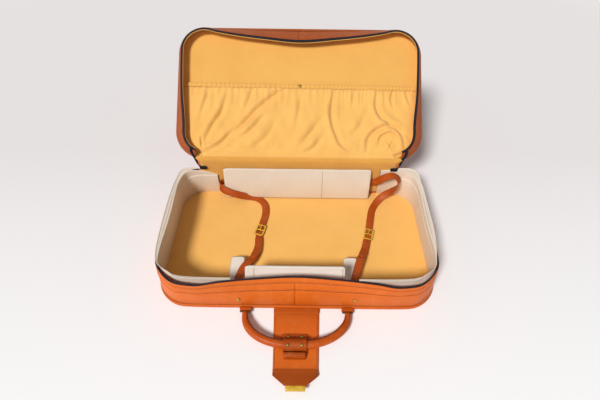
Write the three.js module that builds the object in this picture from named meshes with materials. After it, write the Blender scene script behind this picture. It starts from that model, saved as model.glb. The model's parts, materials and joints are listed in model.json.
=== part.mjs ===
// A soft leather suitcase that lies open: base, lid on a spine, closing flap, handle, canvas flaps and straps.
// Millimetres. +X is to the right, +Y to the back, +Z up. The origin is the middle of the base's underside.
import * as THREE from "three";

// Case
const caseWidth = 540;
const caseDepth = 300;
const baseHeight = 80;
const lidDepth = 296;
const lidWall = 25;
const cornerRadius = 60;
const openAngle = 143;
const leather = 3;
const clearance = 0.3;

// Panels, piping and linings
const panelThickness = 4;
const lidPanelThickness = 3.2;
const pipingWidth = 5.6;
const pipingTop = 9;
const pipingLift = 0.5;
const lidPipingDrop = 5;
const lidPipingRise = 4;
const floorThickness = 3;
const floorInset = 8;
const lidBoardThickness = 2;
const lidBoardInset = 7;
const lidBoardBack = 4;
const liningThickness = 1;
const spineInset = 48.6;
const spineLiningInset = 3.4;
const spineLiningTop = 98;
const frontSeamX = -3;

// Walls and zip
const wallTuck = 1.5;
const lidWallTuck = 0.8;
const lidWallThickness = 1.8;
const lidWallSlant = 1.2;
const zipBandHeight = 9;
const tapeThickness = 2;
const baseTapeWidth = 6.4;
const lidTapeWidth = 6;
const tapeReveal = 0.6;
const zipStandOff = 2.4;
const lidZipStandOff = 0.2;
const wallLiningGap = 3.4;
const wallLiningSlack = 2.7;
const zipEndWidth = 15.4;
const zipEndDepth = 4.2;
const zipEndHeight = 8;

// How far the soft walls lean inwards at the zip in the middle of the front
const baseLean = 22;
const lidLean = 38;
const baseLeanPower = 1.7;
const lidLeanPower = 1.3;

// Canvas collar
const clothThickness = 1.6;
const collarFootInset = 6;
const collarFrontInset = 21.4;
const collarTop = 79.5;
const collarKnee = 45;
const collarKneeShare = 0.35;
const collarFlange = 8.1;
const collarBackInset = 87;

// Canvas tabs and hold-down flaps
const tabLength = 88;
const tabWidth = 29;
const tabPitch = 9.5;
const tabFootInset = 15;
const frontFlapX = -3;
const frontFlapWidth = 188;
const frontFlapLength = 74;
const frontFlapThickness = 2.4;
const frontFlapPitch = 52;
const frontFlapFootInset = 9;
const backFlapX = -2.5;
const backFlapWidth = 331;
const backFlapLength = 79;
const backFlapThickness = 2.2;
const backFlapPitch = 77;
const backFlapFootInset = 25;
const clothCorner = 6;

// Straps and buckles
const strapWidth = 16;
const strapThickness = 2.4;
const buckleWidth = 20;
const buckleLength = 28;
const buckleBar = 2.6;
const buckleCorner = 3.4;
const buckleTaper = 0.6;
const buckleThickness = 2.4;
const prongWidth = 2.4;
const prongThickness = 2;
const buckleLeftTurn = -14.5;
const buckleRightTurn = -16;

// Closing flap, its tip and its hasp
const flapHingeForward = 10;
const flapHingeZ = 8.5;
const flapLift = 0.5;
const flapRootWidth = 85;
const flapEndWidth = 78;
const flapRootBack = 7.7;
const flapLength = 104;
const flapCrease = 0.4;
const tipLength = 27;
const tipEndWidth = 36;
const tipShoulder = 9;
const tipCurl = 18;
const haspWidth = 33;
const haspLength = 8.7;
const haspThickness = 4;

// Handle and its keeper
const handleSpan = 190;
const handleReach = 63;
const handlePower = 2.3;
const gripDiameter = 15;
const gripEndDiameter = 10;
const gripLift = 11.4;
const pinDiameter = 3.6;
const pinLength = 20;
const chapeWidth = 22;
const chapeBottom = 3.5;
const chapeTop = 10.2;
const keeperX = -2;
const keeperWidth = 42;
const keeperEase = 1;
const keeperThickness = 2.2;
const keeperTabWidth = 48;
const keeperTabLength = 11.2;
const rollWidth = 40;
const rollDepth = 11.7;
const rollHeight = 11.2;
const keeperStudSpacing = 24;
const keeperStudRadius = 2.8;
const studHeight = 1.6;
const keeperStudPitch = 25;
const wallStudRadius = 3.2;
const wallStudX = 107;
const wallStudZ = 31;

// Zip sliders and their pulls
const sliderWidth = 5.5;
const sliderLength = 9;
const sliderHeight = 8;
const sliderTop = 77;
const sliderInset = 1.3;
const sliderBack = 65;
const pullThickness = 1.8;
const pullWidth = 8;
const pullLength = 32;
const pullInset = 2.5;
const pullGap = 0.8;

// Lid pocket, its hem and snap, and the lock on the outside of the lid
const pocketInset = 14;
const pocketBack = 6;
const pocketDepth = 151;
const pocketEdge = 1.6;
const pocketCrown = 3.4;
const pocketFold = 1.8;
const pocketRim = 26;
const hemWidth = 10.5;
const hemThickness = 2.5;
const hemLift = 1.3;
const snapRadius = 4;
const snapHeight = 1.6;
const lockWidth = 40;
const lockLength = 29;
const lockThickness = 2.2;
const lockFront = 7;
const lockSlideWidth = 10;
const lockSlideLength = 10;
const lockSlideHeight = 2.3;
const lockSlideX = -4;
const lockSlideFront = 20;
const smallRadius = 3;

// How finely round shapes are divided, and the shortest step between stations
const arcSteps = 7;
const cornerSteps = 2;
const roundSteps = 12;
const leastStep = 3;

const halfWidth = caseWidth / 2;
const halfDepth = caseDepth / 2;
const spineWidth = caseWidth - 2 * spineInset;
const spineLiningWidth = spineWidth - 2 * spineLiningInset;
const hingeZ = baseHeight + lidWall;
const hingeY = -halfDepth - flapHingeForward;
const panelInset = pipingWidth + clearance;
const floorBottom = panelThickness + clearance;
const floorTop = floorBottom + floorThickness;
const onFloor = floorTop + clearance;
const baseTapeTop = baseHeight - zipStandOff;
const bandTop = baseTapeTop - tapeThickness - clearance;
const bandBottom = bandTop - zipBandHeight;
const wallTop = bandBottom - clearance;
const wallFoot = pipingTop + clearance;

// Finishes
const tanLeather = { color: 0xd4641f, roughness: 0.5, metalness: 0 };
const pipingLeather = { color: 0xc05a1c, roughness: 0.45, metalness: 0 };
const strapLeather = { color: 0xc0561c, roughness: 0.5, metalness: 0 };
const yellowCotton = { color: 0xf2b85e, roughness: 0.9, metalness: 0 };
const paleCanvas = { color: 0xe4dacf, roughness: 0.9, metalness: 0 };
const blackZip = { color: 0x1e1a26, roughness: 0.6, metalness: 0 };
const brass = { color: 0xd9b040, roughness: 0.3, metalness: 1 };

const suitcase = new THREE.Group();

function radians(degrees) {
  return (degrees * Math.PI) / 180;
}

function addPiece(group, name, geometry, finish) {
  const piece = new THREE.Mesh(geometry, new THREE.MeshStandardMaterial(finish));
  piece.name = name;
  group.add(piece);
}

function addGroup(parent, x, y, z, pitch = 0, turn = 0) {
  const group = new THREE.Group();
  group.position.set(x, y, z);
  group.rotation.set(radians(pitch), 0, radians(turn));
  parent.add(group);
  return group;
}

const pairSides = [
  ["left", -1],
  ["right", 1],
];

// A closed surface whose faces are turned round where they enclose a negative volume.
function closedSurface(points, faces) {
  let volume = 0;
  for (const [a, b, c] of faces) {
    volume += points[a].dot(new THREE.Vector3().crossVectors(points[b], points[c]));
  }
  const outward = volume < 0 ? faces.map(([a, b, c]) => [a, c, b]) : faces;
  const geometry = new THREE.BufferGeometry().setFromPoints(points);
  geometry.setIndex(outward.flat());
  return geometry;
}

// Triangles over a flat ring of points, walked in the ring's own direction.
function capFaces(ring) {
  const normal = new THREE.Vector3();
  ring.forEach((point, i) => {
    normal.add(new THREE.Vector3().crossVectors(point, ring[(i + 1) % ring.length]));
  });
  const u = new THREE.Vector3().subVectors(ring[1], ring[0]).normalize();
  const v = new THREE.Vector3().crossVectors(normal, u).normalize();
  const flat = ring.map((point) => new THREE.Vector2(point.dot(u), point.dot(v)));
  return THREE.ShapeUtils.triangulateShape(flat, []);
}

// A solid swept through rings that all have the same count. Its ends are capped, or meet where it is closed.
function sweptSolid(rings, closed = false) {
  const count = rings[0].length;
  const faces = [];
  const spans = closed ? rings.length : rings.length - 1;
  for (let i = 0; i < spans; i++) {
    const here = i * count;
    const next = ((i + 1) % rings.length) * count;
    for (let j = 0; j < count; j++) {
      const k = (j + 1) % count;
      faces.push([here + j, next + j, next + k], [here + j, next + k, here + k]);
    }
  }
  if (!closed) {
    const end = (rings.length - 1) * count;
    faces.push(...capFaces(rings[0]));
    faces.push(...capFaces(rings.at(-1)).map(([a, b, c]) => [end + a, end + c, end + b]));
  }
  return closedSurface(rings.flat(), faces);
}

// The outline of the case, walked from the middle of the back to the left, along the front and back on the right.
function outlineOf(depth, centreY) {
  const arc = (Math.PI / 2) * cornerRadius;
  const across = caseWidth - 2 * cornerRadius;
  const along = depth - 2 * cornerRadius;
  const runs = [
    { length: across / 2, steps: 4 },
    { length: arc, steps: arcSteps },
    { length: along, steps: 5 },
    { length: arc, steps: arcSteps },
    { length: across, steps: 14 },
    { length: arc, steps: arcSteps },
    { length: along, steps: 5 },
    { length: arc, steps: arcSteps },
    { length: across / 2, steps: 4 },
  ];
  let start = 0;
  for (const run of runs) {
    run.start = start;
    start += run.length;
  }
  return { halfY: depth / 2, centreY, runs, length: start };
}

// The share of the way from the middle of the back to the middle of the front, the same at every corner of any case
const runShares = [0, 0.2663, 0.3859, 0.6141, 0.7337, 1];
function shareOf({ runs, length }, distance) {
  const travelled = Math.min(distance, length - distance);
  const index = Math.max(runs.slice(0, 5).findLastIndex((run) => run.start <= travelled), 0);
  const span = index === 4 ? runs[index].length / 2 : runs[index].length;
  const [from, to] = runShares.slice(index);
  return from + ((to - from) * (travelled - runs[index].start)) / span;
}

// The point of an outline at a distance along it, its outward direction, and its share of the way to the front.
function outlinePoint(outline, distance) {
  const { halfY, centreY, runs } = outline;
  const index = Math.max(runs.findLastIndex((run) => run.start <= distance), 0);
  const along = distance - runs[index].start;
  const innerX = halfWidth - cornerRadius;
  const innerY = halfY - cornerRadius;
  const share = shareOf(outline, distance);
  if (index % 2 === 1) {
    const turn = (index - 1) / 2;
    const angle = (Math.PI / 2) * (turn + 1) + along / cornerRadius;
    const nx = Math.cos(angle);
    const ny = Math.sin(angle);
    const x = (turn < 2 ? -innerX : innerX) + cornerRadius * nx;
    const y = (turn === 0 || turn === 3 ? innerY : -innerY) + cornerRadius * ny;
    return { x, y: y + centreY, nx, ny, share };
  }
  const straights = [
    { x: -along, y: halfY, nx: 0, ny: 1 },
    { x: -halfWidth, y: innerY - along, nx: -1, ny: 0 },
    { x: along - innerX, y: -halfY, nx: 0, ny: -1 },
    { x: halfWidth, y: along - innerY, nx: 1, ny: 0 },
    { x: innerX - along, y: halfY, nx: 0, ny: 1 },
  ];
  const point = straights[index / 2];
  return { ...point, y: point.y + centreY, share };
}

function stations(outline, from, to) {
  const stops = [from];
  for (const run of outline.runs) {
    for (let i = 0; i < run.steps; i++) {
      const stop = run.start + (run.length * i) / run.steps;
      if (stop > from + leastStep && stop < to - leastStep) stops.push(stop);
    }
  }
  stops.push(to);
  return stops.map((stop) => outlinePoint(outline, stop));
}

// The whole outline as one closed walk.
function allStations(outline) {
  return stations(outline, 0, outline.length).slice(0, -1);
}

function insetPoint(station, inset, z = 0) {
  return new THREE.Vector3(station.x - station.nx * inset, station.y - station.ny * inset, z);
}

// Reads a table of [share of the way to the front, value share], with smooth steps between its rows.
function readShares(table, share) {
  const next = table.findIndex((row) => row[0] > share);
  if (next === -1) return table.at(-1)[1];
  if (next === 0) return table[0][1];
  const [from, low] = table[next - 1];
  const [to, high] = table[next];
  const t = (share - from) / (to - from);
  return low + (high - low) * t * t * (3 - 2 * t);
}

// A wall, tape or bead along stations. The section gives [inset, z] points.
function band(places, section, closed = false) {
  const rings = places.map((station) => section(station).map(([inset, z]) => insetPoint(station, inset, z)));
  return sweptSolid(rings, closed);
}

function plate(shape, thickness, bottom = 0) {
  const settings = { depth: thickness, bevelEnabled: false, curveSegments: cornerSteps };
  return new THREE.ExtrudeGeometry(shape, settings).translate(0, 0, bottom);
}

function polygon(points) {
  return new THREE.Shape(points.map(([x, y]) => new THREE.Vector2(x, y)));
}

// A flat plate inside the outline, with further corners where it is closed by other edges.
function insetPlate(places, inset, thickness, bottom, corners = []) {
  const edge = places.map((station) => insetPoint(station, inset));
  return plate(polygon([...edge, ...corners].map((point) => [point.x, point.y])), thickness, bottom);
}

function roundedRectangle(width, depth, radius) {
  const x = width / 2;
  const y = depth / 2;
  const shape = new THREE.Shape();
  shape.absarc(x - radius, -y + radius, radius, -Math.PI / 2, 0);
  shape.absarc(x - radius, y - radius, radius, 0, Math.PI / 2);
  shape.absarc(-x + radius, y - radius, radius, Math.PI / 2, Math.PI);
  shape.absarc(-x + radius, -y + radius, radius, Math.PI, (3 * Math.PI) / 2);
  return shape;
}

// A cloth or leather panel that starts at its foot and runs along +Y.
function panel(width, length, radius, thickness, bottom = 0) {
  return plate(roundedRectangle(width, length, radius), thickness, bottom).translate(0, length / 2, 0);
}

// A domed stud that stands on z = 0.
function studGeometry(radius, height) {
  const profile = [
    new THREE.Vector2(0, 0),
    new THREE.Vector2(radius, 0),
    new THREE.Vector2(radius, height / 2),
    new THREE.Vector2(radius / 2, height),
    new THREE.Vector2(0, height),
  ];
  return new THREE.LatheGeometry(profile, roundSteps).rotateX(Math.PI / 2);
}

const baseOutline = outlineOf(caseDepth, 0);
const lidOutline = outlineOf(lidDepth, -lidDepth / 2);
const straightHalf = halfWidth - cornerRadius;
const zipStartX = spineWidth / 2 + 2 * clearance;
const zipStart = straightHalf + Math.asin((zipStartX - straightHalf) / cornerRadius) * cornerRadius;

// Lean of the walls, as a share of the greatest lean, at shares of the way from the middle of the back to the front
const baseLeanShares = [
  [0.26, 0],
  [0.386, 0.1],
  [0.5, 0.22],
  [0.614, 0.1],
  [0.765, 0],
  [0.822, 0.38],
  [0.899, 0.74],
  [1, 1],
];
const lidLeanShares = [
  [0.26, 0.3],
  [0.386, 0.58],
  [0.5, 0.37],
  [0.614, 0.3],
  [0.734, 0.3],
  [0.77, 0.5],
  [0.83, 0.75],
  [0.9, 0.92],
  [1, 1],
];

function baseInset(station, z) {
  return baseLean * readShares(baseLeanShares, station.share) * (z / baseHeight) ** baseLeanPower;
}

function lidInset(station, z) {
  return lidLean * readShares(lidLeanShares, station.share) * (-z / lidWall) ** lidLeanPower;
}

// The two halves of a wall, which meet at the seam in the front.
function wallHalves(outline, section, name, group) {
  const seam = outline.length / 2 + frontSeamX;
  const left = stations(outline, zipStart, seam - clearance / 2);
  const right = stations(outline, seam + clearance / 2, outline.length - zipStart);
  addPiece(group, name + "_left", band(left, section), tanLeather);
  addPiece(group, name + "_right", band(right, section), tanLeather);
}

// A rounded bead from low to high at the edge of the case
function pipingSection(low, high) {
  const round = (high - low) / 4;
  return () => [
    [round / 2, low],
    [0, low + round],
    [0, high - round],
    [round / 2, high],
    [pipingWidth, high],
    [pipingWidth, low],
  ];
}

function baseWallSection(station) {
  const rise = (wallTop - wallFoot) / 3;
  const levels = [wallFoot, wallFoot + rise, wallTop - rise, wallTop];
  const outer = levels.map((z) => [baseInset(station, z) + (z === wallFoot ? wallTuck : 0), z]);
  return [...outer, ...outer.toReversed().map(([inset, z]) => [inset + leather, z])];
}

function zipBandSection(station) {
  const low = baseInset(station, bandBottom);
  const high = baseInset(station, bandTop);
  return [
    [low, bandBottom],
    [high, bandTop],
    [high + leather, bandTop],
    [low + leather, bandBottom],
  ];
}

// A zip tape that meets the wall beside it at its upper edge
function tapeSection(outerLow, outerHigh, width, low) {
  return [
    [outerLow, low],
    [outerHigh, low + tapeThickness],
    [outerLow + width, low + tapeThickness],
    [outerLow + width, low],
  ];
}

// Base: bottom panel, piping, side walls, zip band and zip tape
const base = addGroup(suitcase, 0, 0, 0);
const wholeBase = allStations(baseOutline);
const zippedBase = stations(baseOutline, zipStart, baseOutline.length - zipStart);
addPiece(base, "base_panel", insetPlate(wholeBase, panelInset, panelThickness, 0), tanLeather);
addPiece(base, "base_piping", band(wholeBase, pipingSection(pipingLift, pipingTop), true), pipingLeather);
wallHalves(baseOutline, baseWallSection, "base_gusset", base);
addPiece(base, "base_zip_band", band(zippedBase, zipBandSection), tanLeather);
const baseTapeBottom = baseTapeTop - tapeThickness;
const baseTape = band(zippedBase, (station) => {
  const outer = baseInset(station, baseTapeTop) + tapeReveal;
  return tapeSection(outer, outer, baseTapeWidth, baseTapeBottom);
});
addPiece(base, "base_zip_tape", baseTape, blackZip);

// An upright sheet that spans the back between two heights.
function backSheet(width, low, high, thickness, backY) {
  const sheet = plate(roundedRectangle(width, high - low, leather), thickness).rotateX(Math.PI / 2);
  return sheet.translate(0, backY, (low + high) / 2);
}

// Leather spine that carries the lid, its cotton lining, and the ends of the zip beside it
const spineTop = hingeZ - clearance;
const spineLiningBack = halfDepth - leather - clearance;
addPiece(base, "spine", backSheet(spineWidth, wallFoot, spineTop, leather, halfDepth), tanLeather);
const spineLining = backSheet(spineLiningWidth, wallFoot, spineLiningTop, liningThickness, spineLiningBack);
addPiece(base, "spine_lining", spineLining, yellowCotton);
const zipEndBack = spineLiningBack - liningThickness - clearance;
for (const [side, sign] of pairSides) {
  const end = plate(roundedRectangle(zipEndWidth, zipEndHeight, zipEndDepth / 2), zipEndDepth).rotateX(Math.PI / 2);
  const x = sign * (spineLiningWidth / 2 + tapeThickness / 2 - zipEndWidth / 2);
  addPiece(base, "zip_end_" + side, end.translate(x, zipEndBack, baseHeight + zipEndHeight / 2), blackZip);
}

// Lined board on the floor
addPiece(base, "floor_board", insetPlate(wholeBase, floorInset, floorThickness, floorBottom), yellowCotton);

// Canvas collar, as shares of its height, of its inset at the front and of its flange over the zip
const collarHeightShares = {
  left: [
    [0.232, 0.88],
    [0.282, 1],
    [0.7, 1],
    [0.75, 0.987],
  ],
  right: [
    [0.232, 0.99],
    [0.282, 1],
    [0.7, 1],
    [0.75, 0.987],
  ],
};
const collarInsetShares = [
  [0.27, 0.36],
  [0.386, 0.49],
  [0.5, 0.61],
  [0.614, 0.49],
  [0.734, 1],
];
const collarFlangeShares = [
  [0.282, 0.03],
  [0.386, 1],
  [0.614, 1],
  [0.69, 0.03],
];

function collarSection(side) {
  return (station) => {
    const top = collarTop * readShares(collarHeightShares[side], station.share);
    const inset = collarFrontInset * readShares(collarInsetShares, station.share);
    const flange = collarFlange * readShares(collarFlangeShares, station.share);
    const knee = collarFootInset + collarKneeShare * (inset - collarFootInset);
    return [
      [collarFootInset, onFloor],
      [knee, collarKnee],
      [inset, top - clothThickness - clearance / 2],
      [inset - flange, top - clothThickness],
      [inset - flange, top],
      [inset + clothThickness, top],
      [knee + clothThickness, collarKnee],
      [collarFootInset + clothThickness, onFloor],
    ];
  };
}
const frontMiddle = baseOutline.length / 2;
const collarBackX = halfWidth - collarBackInset;
const collarFrontShares = { left: -0.437, right: 0.411 };
const collarLeftEnd = frontMiddle + collarFrontShares.left * halfWidth;
const collarRightEnd = frontMiddle + collarFrontShares.right * halfWidth;
const collarLeft = stations(baseOutline, collarBackX, collarLeftEnd);
const collarRight = stations(baseOutline, collarRightEnd, baseOutline.length - collarBackX);
addPiece(base, "collar_left", band(collarLeft, collarSection("left")), paleCanvas);
addPiece(base, "collar_right", band(collarRight, collarSection("right")), paleCanvas);

// Canvas tabs that rise gently from the foot of the front wall, at shares of the half width
const tabShares = { left: -0.4389, right: 0.3963 };
for (const [side, share] of Object.entries(tabShares)) {
  const tab = addGroup(base, share * halfWidth, tabFootInset - halfDepth, onFloor, tabPitch);
  addPiece(tab, "front_tab_" + side, panel(tabWidth, tabLength, clothCorner, clothThickness), paleCanvas);
}

// Brass studs on the front wall, square to its slope
const upright = 90;
for (const [side, sign] of pairSides) {
  const station = outlinePoint(baseOutline, frontMiddle + sign * wallStudX);
  const low = baseInset(station, wallStudZ - wallStudRadius);
  const high = baseInset(station, wallStudZ + wallStudRadius);
  const slope = (Math.atan((high - low) / (2 * wallStudRadius)) * 180) / Math.PI;
  const y = -halfDepth + (low + high) / 2 - clearance;
  const place = addGroup(base, sign * wallStudX, y, wallStudZ, upright - slope);
  addPiece(place, "wall_stud_" + side, studGeometry(wallStudRadius, studHeight), brass);
}

// Leather chapes that hold the handle's pins at the front edge
const chapeBack = -halfDepth - clearance;
const chapeFront = hingeY + pinDiameter / 2 + clearance;
for (const [side, sign] of pairSides) {
  const shape = roundedRectangle(chapeWidth, chapeBack - chapeFront, smallRadius);
  const chape = plate(shape, chapeTop - chapeBottom, chapeBottom);
  chape.translate((sign * handleSpan) / 2, (chapeBack + chapeFront) / 2, 0);
  addPiece(base, "handle_chape_" + side, chape, tanLeather);
}

// Stops on the straps' routes: shares of the half width, of the half depth and of the base's height above the floor,
// each with the direction of the strap's width there
const strapRouteShares = {
  back_left: [
    { at: [-0.585, 0.9613, 0.415], across: [0, 0, 1] },
    { at: [-0.63, 0.952, 0.415], across: [0, 0, 1] },
    { at: [-0.661, 0.907, 0.4], across: [0, 0.15, 1] },
    { at: [-0.652, 0.847, 0.371], across: [0.1, 0.35, 0.9] },
    { at: [-0.611, 0.8, 0.321], across: [0.3, 0.5, 0.8] },
    { at: [-0.541, 0.78, 0.24], across: [0.25, 0.6, 0.7] },
    { at: [-0.463, 0.77, 0.134], across: [0.2, 0.7, 0.55] },
    { at: [-0.393, 0.757, 0.04], across: [0.25, 0.85, 0.3] },
    { at: [-0.3185, 0.713, 0], across: [0.45, 0.85, 0] },
    { at: [-0.278, 0.64, 0], across: [0.9, 0.35, 0] },
    { at: [-0.27, 0.5, 0], across: [1, 0, 0] },
    { at: [-0.2815, 0.333, 0], across: [1, -0.15, 0] },
    { at: [-0.2993, 0.178, 0], across: [1, -0.25, 0] },
  ],
  front_left: [
    { at: [-0.3003, 0.1693, 0], across: [1, -0.25, 0] },
    { at: [-0.3167, 0.0267, 0], across: [1, -0.2, 0] },
    { at: [-0.326, -0.08, 0.01], across: [1, -0.15, 0] },
    { at: [-0.335, -0.22, 0.071], across: [1, -0.15, 0] },
    { at: [-0.3444, -0.333, 0.14], across: [1, -0.25, 0] },
    { at: [-0.359, -0.413, 0.1875], across: [1, -0.35, 0] },
    { at: [-0.3815, -0.52, 0.16], across: [1, -0.35, 0] },
    { at: [-0.4074, -0.647, 0.115], across: [1, -0.35, 0] },
    { at: [-0.4407, -0.84, 0.055], across: [1, -0.35, 0] },
  ],
  back_right: [
    { at: [0.563, 0.9613, 0.415], across: [0, 0, 1] },
    { at: [0.615, 0.951, 0.4275], across: [0, 0.05, 1] },
    { at: [0.659, 0.92, 0.471], across: [0, 0.35, 0.94] },
    { at: [0.696, 0.893, 0.546], across: [0, 0.65, 0.76] },
    { at: [0.733, 0.873, 0.64], across: [0, 0.88, 0.47] },
    { at: [0.785, 0.86, 0.7275], across: [0, 1, 0.05] },
    { at: [0.826, 0.837, 0.64], across: [0.3, 0.9, 0.3] },
    { at: [0.833, 0.8, 0.465], across: [0.5, 0.8, 0.3] },
    { at: [0.785, 0.78, 0.2775], across: [0.2, 0.9, 0.4] },
    { at: [0.7185, 0.76, 0.121], across: [-0.2, 0.85, 0.4] },
    { at: [0.659, 0.687, 0.015], across: [-0.7, 0.7, 0.05] },
    { at: [0.6185, 0.573, 0], across: [-0.9, 0.4, 0] },
    { at: [0.6, 0.447, 0], across: [-1, 0.2, 0] },
    { at: [0.58, 0.28, 0], across: [-1, 0.22, 0] },
    { at: [0.5639, 0.1373, 0], across: [-1, 0.28, 0] },
  ],
  front_right: [
    { at: [0.5622, 0.1287, 0], across: [1, -0.28, 0] },
    { at: [0.5426, 0, 0], across: [1, -0.28, 0] },
    { at: [0.522, -0.133, 0.0125], across: [1, -0.28, 0] },
    { at: [0.5, -0.253, 0.109], across: [1, -0.32, 0] },
    { at: [0.474, -0.34, 0.2075], across: [1, -0.32, 0] },
    { at: [0.4537, -0.453, 0.18], across: [1, -0.28, 0] },
    { at: [0.424, -0.66, 0.1125], across: [1, -0.25, 0] },
    { at: [0.4, -0.84, 0.0525], across: [1, -0.22, 0] },
  ],
};
const strapLow = onFloor + strapThickness / 2;

// A strap along its route between two shares of it, lifted off it along its own normal, with a point where asked.
function strapGeometry(route, steps, { from = 0, to = 1, lift = 0, pointed = false } = {}) {
  const places = route.map(
    ({ at }) => new THREE.Vector3(at[0] * halfWidth, at[1] * halfDepth, at[2] * baseHeight + strapLow),
  );
  const curve = new THREE.CatmullRomCurve3(places);
  const rings = [];
  for (let i = 0; i <= steps; i++) {
    const t = from + ((to - from) * i) / steps;
    const stop = Math.min(Math.floor(t * (route.length - 1)), route.length - 2);
    const along = curve.getTangent(t);
    const across = new THREE.Vector3(...route[stop].across);
    across.lerp(new THREE.Vector3(...route[stop + 1].across), t * (route.length - 1) - stop);
    across.addScaledVector(along, -across.dot(along)).normalize();
    const up = new THREE.Vector3().crossVectors(across, along).normalize();
    if (up.z < 0 && lift > 0) up.negate();
    const left = steps - i;
    const half = (pointed && left < 3 ? (left + 1) / 4 : 1) * (strapWidth / 2);
    const centre = curve.getPoint(t).addScaledVector(up, lift);
    const corners = [
      [half, strapThickness / 2],
      [-half, strapThickness / 2],
      [-half, -strapThickness / 2],
      [half, -strapThickness / 2],
    ];
    rings.push(corners.map(([side, rise]) => centre.clone().addScaledVector(across, side).addScaledVector(up, rise)));
  }
  return sweptSolid(rings);
}

const strapSteps = { back_left: 48, front_left: 24, back_right: 56, front_right: 22 };
for (const [name, steps] of Object.entries(strapSteps)) {
  addPiece(base, "strap_" + name, strapGeometry(strapRouteShares[name], steps), strapLeather);
}

// Free ends of the straps, which lie on their front parts past the buckles
const tongueShares = { left: [0.1, 0.41], right: [0.13, 0.45] };
const tongueSteps = 12;
for (const [side, [from, to]] of Object.entries(tongueShares)) {
  const layout = { from, to, lift: strapThickness + clearance, pointed: true };
  const tongue = strapGeometry(strapRouteShares["front_" + side], tongueSteps, layout);
  addPiece(base, "strap_tongue_" + side, tongue, strapLeather);
}

// Buckles: a frame with a middle bar on the strap, and a prong on the frame
function buckleFrame() {
  const shape = roundedRectangle(buckleWidth, buckleLength, buckleCorner);
  const x = buckleWidth / 2 - buckleBar;
  for (const sign of [-1, 1]) {
    const near = (sign * buckleBar) / 2;
    const far = sign * (buckleLength / 2 - buckleBar);
    const opening = [
      [-x, near],
      [buckleTaper - x, far],
      [x - buckleTaper, far],
      [x, near],
    ];
    shape.holes.push(polygon(opening));
  }
  return plate(shape, buckleThickness);
}
const buckleZ = onFloor + strapThickness + clearance;
const bucklePlaceShares = { left: [-0.3, 0.18], right: [0.563, 0.1267] };
const buckleTurns = { left: buckleLeftTurn, right: buckleRightTurn };
for (const [side, [across, along]] of Object.entries(bucklePlaceShares)) {
  const place = addGroup(base, across * halfWidth, along * halfDepth, buckleZ, 0, buckleTurns[side]);
  addPiece(place, "buckle_frame_" + side, buckleFrame(), brass);
  const length = (buckleLength + buckleBar) / 2;
  const prong = panel(prongWidth, length, prongWidth / 3, prongThickness, buckleThickness + clearance);
  addPiece(place, "buckle_prong_" + side, prong.translate(0, -buckleBar / 2, 0), brass);
}

// Hold-down flaps of canvas: one leans in over the floor from the front, one stands against the spine
const frontFlapPlace = addGroup(base, frontFlapX, frontFlapFootInset - halfDepth, onFloor, frontFlapPitch);
const frontFlap = panel(frontFlapWidth, frontFlapLength, clothCorner, frontFlapThickness);
addPiece(frontFlapPlace, "front_flap", frontFlap, paleCanvas);
const backFlapPlace = addGroup(base, backFlapX, halfDepth - backFlapFootInset, onFloor, backFlapPitch);
const backFlap = panel(backFlapWidth, backFlapLength, clothCorner, backFlapThickness);
addPiece(backFlapPlace, "back_flap", backFlap, paleCanvas);

// Zip sliders parked at the back of the sides, each with a leather pull that hangs from it
const sliderX = halfWidth - sliderInset;
const sliderY = halfDepth - sliderBack;
for (const [side, sign] of pairSides) {
  const slider = plate(roundedRectangle(sliderWidth, sliderLength, sliderWidth / 4), sliderHeight);
  slider.translate(sign * (sliderX + sliderWidth / 2), sliderY, sliderTop - sliderHeight);
  addPiece(base, "zip_slider_" + side, slider, brass);
  const pull = plate(roundedRectangle(pullWidth, pullLength, smallRadius), pullThickness);
  pull.rotateX(Math.PI / 2).rotateZ(Math.PI / 2);
  const x = sign * (sliderX + pullInset + pullThickness / 2) - pullThickness / 2;
  pull.translate(x, sliderY, sliderTop - sliderHeight - pullGap - pullLength / 2);
  addPiece(base, "zip_pull_" + side, pull, strapLeather);
}

// Lid, drawn closed about its hinge line and turned open. Its inside looks along -Z.
const lid = addGroup(suitcase, 0, halfDepth, hingeZ, -openAngle);
const zippedLid = stations(lidOutline, zipStart, lidOutline.length - zipStart);

// Two corners that carry a lid sheet back to the spine
function backCorners(halfSpan, back) {
  return [new THREE.Vector3(halfSpan, -back, 0), new THREE.Vector3(-halfSpan, -back, 0)];
}
const lidBackHalf = spineWidth / 2 - 2 * clearance;
const lidPanelBack = backCorners(lidBackHalf, 2 * clearance);
const lidPanel = insetPlate(zippedLid, panelInset, lidPanelThickness, clearance, lidPanelBack);
addPiece(lid, "lid_panel", lidPanel, tanLeather);
addPiece(lid, "lid_piping", band(zippedLid, pipingSection(-lidPipingDrop, lidPipingRise)), pipingLeather);

const lidTapeBottom = -lidWall + lidZipStandOff;
const lidWallLow = lidTapeBottom + tapeThickness + clearance;
const lidWallHigh = -lidPipingDrop - clearance - lidWallSlant;
function lidWallSection(station) {
  const rise = (lidWallHigh - lidWallLow) / 3;
  const levels = [lidWallHigh, lidWallHigh - rise, lidWallLow + rise, lidWallLow];
  const outer = levels.map((z) => [lidInset(station, z) + (z === lidWallHigh ? lidWallTuck : 0), z]);
  const inner = outer.toReversed().map(([inset, z]) => [inset + lidWallThickness, z + lidWallSlant]);
  return [...outer, ...inner];
}
wallHalves(lidOutline, lidWallSection, "lid_gusset", lid);
const lidTape = band(zippedLid, (station) => {
  const outer = lidInset(station, lidTapeBottom) + tapeReveal;
  return tapeSection(outer, lidInset(station, lidWallLow), lidTapeWidth, lidTapeBottom);
});
addPiece(lid, "lid_zip_tape", lidTape, blackZip);

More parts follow.
